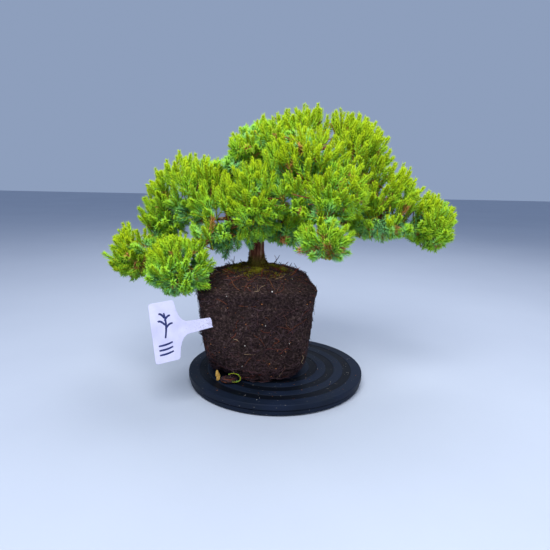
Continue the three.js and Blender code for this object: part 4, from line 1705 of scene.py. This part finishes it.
@dataclass
class Foliage:
    """The pads of foliage: fans of shoots, each a stem with whorls of needles.

    The pads' CAD solids are ellipsoids, and the foliage fills one smooth envelope round all of them: the
    surface where the sum over pads of exp(-softness * (d * d - 1)) is 1, where d is a point's distance from
    the pad's centre as a share of the pad's radius in that direction. It bridges the gaps between pads.

    Args:
        fan_spacing_mm: the distance between fans over the envelope.
        fan_mm: a fan's shortest and longest height.
        limb_fan_count: small fans tried along each limb.
        shoots: shoots in a fan, the first of them its leader.
        shoot_turn: the turn about the leader from one shoot to the next, in radians.
        whorls: whorls of three needles on a shoot.
        needle_mm: a needle's length half way up a shoot.
        needle_width_mm: its width.
        softness: how sharply the envelope follows each pad.
        bare_mm: how near the trunk's middle the limbs stay bare.
        limb_fan_mm: the shortest and longest fan on a limb.
        steps: the shares of a pad's radius that are tried for a fan's tip.
        cuts: the shares of a fan's height that are tried for its foot.
        ellipsoids: each pad's centre and half sizes in millimetres, filled in by build.
    """

    fan_spacing_mm: float = 14.6
    fan_mm: tuple[float, float] = (27.0, 37.0)
    limb_fan_count: int = 22
    shoots: int = 3
    shoot_turn: float = 2.39996
    whorls: int = 18
    needle_mm: float = 6.5
    needle_width_mm: float = 1.5
    softness: float = 1.18
    bare_mm: float = 14.0
    limb_fan_mm: tuple[float, float] = (17.0, 25.0)
    steps: tuple[float, ...] = tuple(np.linspace(0.9, 1.5, 25))
    cuts: tuple[float, ...] = (1.0, 0.85, 0.7, 0.55)
    ellipsoids: dict[str, tuple[np.ndarray, np.ndarray]] = field(default_factory=dict)

    def build(self) -> None:
        """Makes one piece for each CAD pad, and one for the shoots along the limbs."""
        names = nodes_named("foliage_")
        for name in names:
            low, high = box_mm(name)
            self.ellipsoids[name] = ((low + high) / 2, (high - low) / 2)
        limbs = [node_rows(name) / MM for name in nodes_named("limb_")]
        stem = node_rows("trunk") / MM
        crown = stem[stem[:, 2] > np.median(stem[:, 2])]
        wood = np.concatenate([crown, *limbs])
        for seed, name in enumerate(names):
            rng = np.random.default_rng(100 + seed)
            fans = self.pad_fans(name, rng)
            made = joined(self.twigs(fans, wood, rng), self.grown(fans, rng))
            dressed(made.piece(name.replace("foliage", "shoots")), NEEDLES, name)
            LOG.info("%s: %d fans", name, len(fans.tips))
        rng = np.random.default_rng(180)
        fans = self.limb_fans(limbs, crown.mean(axis=0)[:2], rng)
        dressed(self.grown(fans, rng).piece("limb_shoots"), NEEDLES)
        LOG.info("limbs: %d fans", len(fans.tips))

    @staticmethod
    def exposure(name: str) -> Exposure:
        """A pad's exposure, from the place that its name gives.

        Args:
            name: the CAD pad.

        Returns:
            Its exposure.
        """
        if "back" in name:
            return Exposure.BACK
        if any(word in name for word in ("apex", "crown", "upper")):
            return Exposure.CROWN
        if any(word in name for word in ("low", "hanging", "inner")):
            return Exposure.LOW
        return Exposure.SIDE

    def envelope(self, points: np.ndarray) -> tuple[np.ndarray, np.ndarray, np.ndarray]:
        """The envelope's sum at each point, its outward direction, and the pad that counts most there.

        Args:
            points: places in millimetres, one row each.

        Returns:
            The sum, the unit vector of its steepest fall, and the pad's place in the table of ellipsoids.
        """
        centres = np.array([c for c, _ in self.ellipsoids.values()])
        halves = np.array([h for _, h in self.ellipsoids.values()])
        away = (points[:, None] - centres) / halves
        share = np.exp(-self.softness * ((away**2).sum(axis=-1) - 1))
        outward = unit((share[..., None] * away / halves).sum(axis=1))
        return share.sum(axis=1), outward, share.argmax(axis=1)

    def pad_fans(self, name: str, rng: np.random.Generator) -> Fans:
        """A pad's fans, evenly spread over its share of the envelope.

        Directions follow a golden spiral on a sphere, scaled to the ellipsoid. Along each, the first of a
        row of steps outside the envelope is the tip. A fan whose foot would stick out of the envelope is
        shortened until it doesn't, or left out.

        Args:
            name: the CAD pad.
            rng: the source of the scatter.

        Returns:
            The fans.
        """
        centre, half = self.ellipsoids[name]
        rank = list(self.ellipsoids).index(name)
        pairs = np.array([half[0] * half[1], half[0] * half[2], half[1] * half[2]])
        area = 4 * np.pi * ((pairs**1.6).mean()) ** (1 / 1.6)
        count = int(1.1 * area / self.fan_spacing_mm**2)
        index = np.arange(count) + 0.5
        z = 1 - 2 * index / count
        turn = index * GOLDEN_ANGLE + rng.uniform(0, 6)
        ring = np.sqrt(1 - z * z)
        ball = np.stack([ring * np.cos(turn), ring * np.sin(turn), z], axis=-1)
        ball = unit(ball + rng.normal(0, 0.08, ball.shape))
        steps = np.array(self.steps)
        rays = centre + (ball * half)[:, None] * steps[:, None]
        total, _, _ = self.envelope(rays.reshape(-1, 3))
        inside = total.reshape(count, -1) >= 1
        reach = steps[np.argmin(inside, axis=1)]
        tips = centre + ball * half * reach[:, None]
        _, outward, nearest = self.envelope(tips)
        keep = ~inside.all(axis=1) & (nearest == rank)
        tips, outward = tips[keep], outward[keep]
        tips = tips + outward * rng.normal(-3.2, 1.8, (len(tips), 1))
        upper, lower = self.exposure(name).value
        # Upward-facing shoots take the upper column and downward-facing ones the lower: partly the
        # juniper's own new and older growth, partly painted light on top and painted shade underneath.
        tint = lower + (upper - lower) * np.clip(0.55 + 0.8 * outward[:, 2], 0, 1)
        tint = tint + 0.06 * noise(tips * MM, 30, 90) + rng.normal(0, 0.03, len(tips))
        height = rng.uniform(*self.fan_mm, len(tips)) * np.clip(0.6 + half.mean() / 75, 0.75, 1.08)
        axis = self.leaning(outward, rng)
        cuts = np.array(self.cuts)
        feet = tips[:, None] - axis[:, None] * (height[:, None] * cuts)[..., None]
        deep = self.envelope(feet.reshape(-1, 3))[0].reshape(-1, len(cuts)) > 1.1
        sound = deep.any(axis=1)
        height = height * cuts[np.argmax(deep, axis=1)]
        return Fans(tips[sound], axis[sound], height[sound], tint[sound])

    @staticmethod
    def leaning(outward: np.ndarray, rng: np.random.Generator) -> np.ndarray:
        """Leaders' directions: outwards, turned up towards the light the more the higher they stand.

        Args:
            outward: the envelope's outward directions.
            rng: the source of the scatter.

        Returns:
            Unit vectors.
        """
        lit = np.clip((outward[:, 2:] + 0.85) / 1.1, 0, 1)
        scatter = rng.normal(0, 0.17, outward.shape)
        return unit(outward * (1 - 0.35 * lit) + UP * (0.1 + 0.85 * lit) + scatter)

    def limb_fans(self, limbs: list[np.ndarray], stem: np.ndarray, rng: np.random.Generator) -> Fans:
        """Small fans along the limbs, which hide them and fill the hollows under the pads.

        Args:
            limbs: points on each limb, in millimetres.
            stem: the middle of the trunk's upper half, as x and y.
            rng: the source of the scatter.

        Returns:
            The fans.
        """
        feet, outward = [], []
        for points in limbs:
            points = points[np.linalg.norm(points[:, :2] - stem, axis=1) > self.bare_mm]
            feet.append(points[rng.integers(0, len(points), self.limb_fan_count)])
            turn = rng.uniform(0, TURN, self.limb_fan_count)
            rise = rng.uniform(-0.5, 0.6, self.limb_fan_count)
            outward.append(unit(np.stack([np.cos(turn), np.sin(turn), rise], axis=-1)))
        feet, outward = np.concatenate(feet), np.concatenate(outward)
        height = rng.uniform(*self.limb_fan_mm, len(feet))
        axis = self.leaning(outward, rng)
        tips = feet + axis * height[:, None]
        total, _, _ = self.envelope(tips)
        keep = (total > 0.08) & (total < 2.2)
        # Limb shoots take low, blue-green columns, lower when they point down: partly older growth, partly
        # painted shade under the pads.
        tint = 0.40 + 0.14 * axis[:, 2] + rng.normal(0, 0.04, len(feet))
        return Fans(tips[keep], axis[keep], height[keep], tint[keep])

    def twigs(self, fans: Fans, wood: np.ndarray, rng: np.random.Generator) -> Surface:
        """Brown twigs that curve from the nearest limb to the foot of each fan.

        Args:
            fans: the fans.
            wood: points on the trunk and limbs, in millimetres.
            rng: the source of the bends.

        Returns:
            The twigs.
        """
        base = fans.feet()
        gap = ((base[:, None] - wood[None]) ** 2).sum(axis=-1)
        start = wood[gap.argmin(axis=1)]
        reach = np.linalg.norm(base - start, axis=1)[:, None]
        sag = fans.axis * np.minimum(reach * 0.25, 4.0)
        bend = (start + base) / 2 - sag + rng.normal(0, 1.2, base.shape)
        paths = curved(start, bend, base, np.linspace(0, 1, 6))
        radii = np.linspace(0.9, 0.55, 6)[None] * rng.uniform(0.7, 1.15, len(base))[:, None]
        tints = rng.uniform(*TWIG_COLUMNS, len(base))
        return tubes(paths * MM, radii * MM, 5, tints)

    def grown(self, fans: Fans, rng: np.random.Generator) -> Surface:
        """Fans of shoots: a leader, and side shoots that leave it and curve back towards its direction.

        Each shoot is a quadratic curve. It leaves the leader at a golden-angle turn from the last.

        Args:
            fans: the fans.
            rng: the source of the scatter.

        Returns:
            The stems and needles.
        """
        base, axis, height = fans.feet(), fans.axis, fans.height
        count, shoots = len(base), self.shoots
        across = unit(np.cross(axis, rng.normal(0, 1, (count, 3))))
        aside = np.cross(axis, across)
        order = np.arange(shoots)
        turn = order * self.shoot_turn + rng.normal(0, 0.25, (count, shoots))
        later = 0.10 + 0.42 * order / shoots + rng.uniform(0, 0.07, (count, shoots))
        leave = np.where(order == 0, 0.0, later)
        splay = np.where(order == 0, 0.06, 0.70) * rng.uniform(0.75, 1.2, (count, shoots))
        radial = across[:, None] * np.cos(turn)[..., None] + aside[:, None] * np.sin(turn)[..., None]
        away = unit(axis[:, None] * np.cos(splay)[..., None] + radial * np.sin(splay)[..., None])
        inward = unit(axis[:, None] * 0.85 + radial * (0.45 * np.sin(splay))[..., None])
        length = height[:, None] * (1 - leave) * rng.uniform(0.80, 1.02, (count, shoots))
        length = np.where(order == 0, height[:, None], length)[..., None]
        first = base[:, None] + axis[:, None] * (leave * height[:, None])[..., None]
        second = first + away * length * 0.5
        third = second + inward * length * 0.5
        shape = (count * shoots, 3)
        first, second, third = (p.reshape(shape) for p in (first, second, third))
        paths = curved(first, second, third, np.linspace(0, 1, 5))
        radii = np.broadcast_to(np.linspace(0.75, 0.5, 5) * MM, paths.shape[:2])
        stems = tubes(paths * MM, radii, 4, rng.uniform(*STEM_COLUMNS, len(first)))
        shoot_tint = np.repeat(fans.tint, shoots) + rng.normal(0, 0.025, len(first))
        dead = np.where(rng.random(len(first)) < 0.09, 0.42, 0.0)
        dead = np.where((noise(first * MM, 9, 95) > 0.58) & (shoot_tint < 0.72), 0.85, dead)
        return joined(stems, self.needles(first, second, third, shoot_tint, dead, rng))

    def needles(self, first: np.ndarray, second: np.ndarray, third: np.ndarray, tint: np.ndarray,
                dead: np.ndarray, rng: np.random.Generator) -> Surface:
        """Whorls of three needles up each shoot, closing to a rosette at its tip.

        The fresh shoots, with the higher palette columns, have shorter needles that stand closer to the
        stem. Along each shoot the column falls from tip to foot, towards the near-black green, which is
        painted shade deep in the pad.

        Args:
            first: the shoots' feet, in millimetres.
            second: the middle points of their curves.
            third: their tips.
            tint: their palette columns.
            dead: the share of each shoot, from its foot, whose needles are dead and rust-brown.
            rng: the source of the scatter.

        Returns:
            The needles.
        """
        count, whorls = len(first), self.whorls
        share = 0.14 + 0.86 * np.linspace(0, 1, whorls) ** 0.72
        t = share[None, :, None]
        spot = curved(first, second, third, share)
        ahead = unit((1 - t) * (second - first)[:, None] + t * (third - second)[:, None])
        guide = unit(np.cross(ahead, rng.normal(0, 1, (count, 1, 3))))
        other = np.cross(ahead, guide)
        turn = (np.arange(whorls)[:, None] * (TURN / 6) + np.arange(3) * (TURN / 3))[None]
        turn = turn + rng.normal(0, 0.16, (count, whorls, 3))
        along, aside = np.cos(turn)[..., None], np.sin(turn)[..., None]
        radial = guide[:, :, None] * along + other[:, :, None] * aside
        fresh = np.clip((tint - 0.5) / 0.3, 0, 1)[:, None, None]
        opening = np.radians(60 - 12 * fresh - 12 * share[None, :, None] ** 6)
        opening = opening + rng.normal(0, 0.09, (count, whorls, 3))
        way = ahead[:, :, None] * np.cos(opening)[..., None] + radial * np.sin(opening)[..., None]
        length = self.needle_mm * (0.70 + 0.36 * np.sin(np.pi * share**0.9))[None, :, None]
        length = length * (1.12 - 0.22 * fresh) * rng.uniform(0.82, 1.15, (count, whorls, 3))
        width = self.needle_width_mm * rng.uniform(0.85, 1.15, (count, whorls, 3))
        # Needles near a shoot's tip take higher, fresher columns (its own young growth), and those near its
        # foot lower ones, towards the near-black green: painted shade deep in the pad.
        young = 0.34 * (share - 0.70)[None, :, None]
        column = tint[:, None, None] + young + rng.normal(0, 0.015, (count, whorls, 3))
        withered = (share[None, :] < dead[:, None])[:, :, None]
        column = np.where(withered, DEAD_COLUMN, np.clip(column, *LIVE_COLUMNS))
        roots = np.broadcast_to(spot[:, :, None], way.shape).reshape(-1, 3)
        face = np.broadcast_to(ahead[:, :, None], way.shape).reshape(-1, 3)
        return blades(roots * MM, way.reshape(-1, 3), face, length.ravel() * MM, width.ravel() * MM,
                      column.ravel(), bend=-0.10)


# ---- Label and loose bits -----------------------------------------------------------------------


@dataclass
class PlantLabel:
    """The T-shaped label, with a drawn sprig and tally strokes in place of writing.

    Args:
        head_mm: the width of the label's head along its stake.
        stroke_mm: the felt pen's line width.
        steps: points along a stroke.
    """

    head_mm: float = 25.0
    stroke_mm: float = 2.1
    steps: int = 16

    def build(self) -> None:
        """Makes the sheet and its marks."""
        sheet = bevelled("plant_label", "label_sheet", 0.2, 50)
        points = rows_of(sheet.data)
        dressed(sheet, LabelSheet(), "plant_label")
        self.make_marks(points)

    def make_marks(self, points: np.ndarray) -> None:
        """The marks: a stem with three pairs of leaves, and three strokes, as thin raised ink.

        The sheet's own axes are its three directions of greatest spread. Along its stake the sheet is
        lopsided, so that is the axis with the larger mean cube.

        Args:
            points: the sheet's vertices.
        """
        middle = points.mean(axis=0)
        axes = np.linalg.svd(points - middle, full_matrices=False)[2]
        skew = np.abs((((points - middle) @ axes[:2].T) ** 3).mean(axis=0))
        stake, rise = axes[:2] if skew[0] > skew[1] else axes[1::-1]
        stake = stake if stake[0] > 0 else -stake
        rise = rise if rise[2] > 0 else -rise
        front = np.cross(stake, rise)
        front = front if front[1] < 0 else -front
        edge = ((points - middle) @ stake).min()
        heights = (points - middle) @ rise
        thick = ((points - middle) @ front).max()
        half_way = rise * (heights.max() + heights.min()) / 2
        centre = middle + stake * (edge + self.head_mm / 2 * MM) + half_way
        t = np.linspace(0, 1, self.steps)
        strokes = [np.stack([2.2 * np.sin(2.6 * t), -6 + 25 * t], -1)]
        for k, (height, side) in enumerate([(3, 1), (7, -1), (11, 1), (14, -1)]):
            reach = 7.5 - 0.8 * k
            strokes.append(np.stack([1.2 + side * reach * t, height + 4.6 * np.sin(1.9 * t)], -1))
        for k in range(3):
            level = -12.5 - 4.6 * k + 1.6 * t - 0.7 * np.sin(3 * t)
            strokes.append(np.stack([-7.5 + 14 * t, level], -1))
        drawn = np.stack(strokes) * MM
        paths = centre + drawn[..., :1] * stake + drawn[..., 1:] * rise + front * thick
        press = 0.75 + 0.25 * np.sin(np.linspace(0.3, 2.9, self.steps))
        radii = np.broadcast_to(press * self.stroke_mm / 2 * MM, paths.shape[:2])
        marks = tubes(paths, radii, 8, flat=front, flatness=0.12).piece("pen_marks")
        dressed(marks, INK)


@dataclass
class LooseBits:
    """The fallen leaf and the curled green shoot beside the clump.

    Args:
        leaf_steps: rings along the leaf.
        shoot_steps: points along the green shoot.
        needles: needles on it.
    """

    leaf_steps: int = 18
    shoot_steps: int = 30
    needles: int = 16

    def build(self) -> None:
        """Makes both."""
        self.make_leaf()
        self.make_tendril()

    def make_leaf(self) -> None:
        """A dry leaf: a flattened spindle whose edges curl forwards."""
        low, high = box("fallen_leaf")
        t = np.linspace(0, 1, self.leaf_steps)
        foot = np.array([(low[0] + high[0]) / 2, low[1] + 0.0012, low[2]])
        head = np.array([(low[0] + high[0]) / 2, high[1] - 0.0006, high[2]])
        path = foot + (head - foot) * t[:, None]
        path[:, 0] += 0.0007 * np.sin(5 * t)
        width = (high[0] - low[0]) / 2 * np.sin(np.pi * np.clip(t, 0.03, 0.97)) ** 0.55
        normal = unit(np.cross(head - foot, [1.0, 0, 0]))
        leaf = tubes(path[None], width[None], 20, flat=normal, flatness=0.16)
        aside = (leaf.points[:, 0] - foot[0]) / (high[0] - low[0])
        leaf.points += normal * (0.0022 * aside**2)[:, None]
        leaf.points += 0.0007 * np.stack([noise(leaf.points, 2.4, 300 + k) for k in range(3)], axis=-1)
        leaf.points[:, 2] = np.maximum(leaf.points[:, 2], low[2])
        dressed(leaf.piece("dry_leaf"), DRY_LEAF, "fallen_leaf")

    def make_tendril(self) -> None:
        """A thin green shoot that curls over the clump, with a few needles on it.

        Its path is an arc over the clump that ends in a small hook.
        """
        low, high = box("soil_clump")
        t = np.linspace(0, 1, self.shoot_steps)
        start = np.array([low[0] + 0.004, low[1] + 0.001, high[2] - 0.001])
        turn = 2.5 - 4.3 * t
        curl = np.stack([0.0095 + 0.0072 * np.cos(turn), -0.0015 - 0.0025 * t,
                         0.0016 + 0.0056 * np.sin(turn) * (1 - 0.35 * t)], axis=-1)
        path = start + curl
        path[:, 2] = np.maximum(path[:, 2], low[2] + 0.0005)
        radii = np.linspace(0.24, 0.13, self.shoot_steps)[None] * MM
        stem = tubes(path[None], radii, 6, np.array([0.085]))
        rng = np.random.default_rng(77)
        count = self.needles
        spots = path[rng.integers(1, self.shoot_steps - 1, count)]
        ahead, face = rng.normal(0, 1, (count, 3)) + [0, 0, 0.5], rng.normal(0, 1, (count, 3))
        needles = blades(spots, ahead, face, rng.uniform(1.5, 3.0, count) * MM, np.full(count, 0.7 * MM),
                         rng.uniform(0.45, 0.75, count))
        made = joined(stem, needles)
        made.points[:, 2] = np.maximum(made.points[:, 2], low[2])
        dressed(made.piece("green_shoot"), NEEDLES)


# ---- Stage --------------------------------------------------------------------------------------


@dataclass
class Stage:
    """The floor, the lights and the camera.

    Args:
        camera_mm: the camera's place.
        pitch_deg: how far it looks down.
        roll_deg: how far it is turned about its line of sight.
        lens_mm: its focal length on a 36 mm sensor.
        floor_reach: how far the floor runs to each side, in metres.
    """

    camera_mm: tuple[float, float, float] = (-2.5, -521.0, 228.4)
    pitch_deg: float = 11.55
    roll_deg: float = 1.15
    lens_mm: float = 30.76
    floor_reach: float = 6.0

    def build(self) -> None:
        """Makes them all."""
        self.make_camera()
        self.make_floor()
        self.make_lights()

    def make_camera(self) -> None:
        """The camera, level with the crown and looking slightly down."""
        data = bpy.data.cameras.new("camera")
        data.lens, data.sensor_width = self.lens_mm, 36.0
        data.clip_start, data.clip_end = 0.01, 50.0
        camera = placed("camera", data)
        tilt = Matrix.Rotation(math.radians(90 - self.pitch_deg), 4, "X")
        roll = Matrix.Rotation(math.radians(self.roll_deg), 4, "Z")
        camera.matrix_world = Matrix.Translation(Vector(self.camera_mm) * MM) @ tilt @ roll
        bpy.context.scene.camera = camera

    def make_floor(self) -> None:
        """A plain pale floor, large enough to pass out of sight."""
        reach = self.floor_reach
        points = reach * np.array([[-1, -1, 0], [1, -1, 0], [1, 1, 0], [-1, 1, 0]])
        floor = Surface(points, [np.array([[0, 1, 2, 3]])]).piece("floor", smooth=False)
        floor.data.materials.append(material_of(FLOOR_PAINT))

    def make_lights(self) -> None:
        """A large soft light above and in front, a fill from the left, and a pale surround."""
        self.softbox("key", (-150, -750, 1050), 900, 17.5)
        self.softbox("fill", (900, -500, 500), 700, 3)
        self.softbox("top", (200, 500, 1200), 900, 8)
        world = bpy.data.worlds.new("surround")
        world.use_nodes = True
        shade = world.node_tree.nodes["Background"]
        shade.inputs["Color"].default_value = linear("a9bde0")
        shade.inputs["Strength"].default_value = 0.68
        bpy.context.scene.world = world
        bpy.context.scene.view_settings.view_transform = "Standard"

    @staticmethod
    def softbox(name: str, place_mm: tuple[float, float, float], size_mm: float, watts: float) -> None:
        """An area light that faces the tree.

        Args:
            name: the light's name.
            place_mm: where it stands.
            size_mm: its width.
            watts: its power.
        """
        data = bpy.data.lights.new(name, "AREA")
        data.shape, data.size, data.energy = "DISK", size_mm * MM, watts
        light = placed(name, data)
        place = Vector(place_mm) * MM
        aim = Vector((0, 0, 0.15)) - place
        turn = aim.to_track_quat("-Z", "Y").to_matrix().to_4x4()
        light.matrix_world = Matrix.Translation(place) @ turn


def main() -> None:
    """Builds every sub-assembly in order."""
    logging.basicConfig(level=logging.INFO, format="%(message)s")
    Stage().build()
    Turntable().build()
    surface = RootBall().build()
    Skeleton().build()
    Moss().build(surface)
    Foliage().build()
    PlantLabel().build()
    LooseBits().build()


if __name__ == "__main__":
    main()
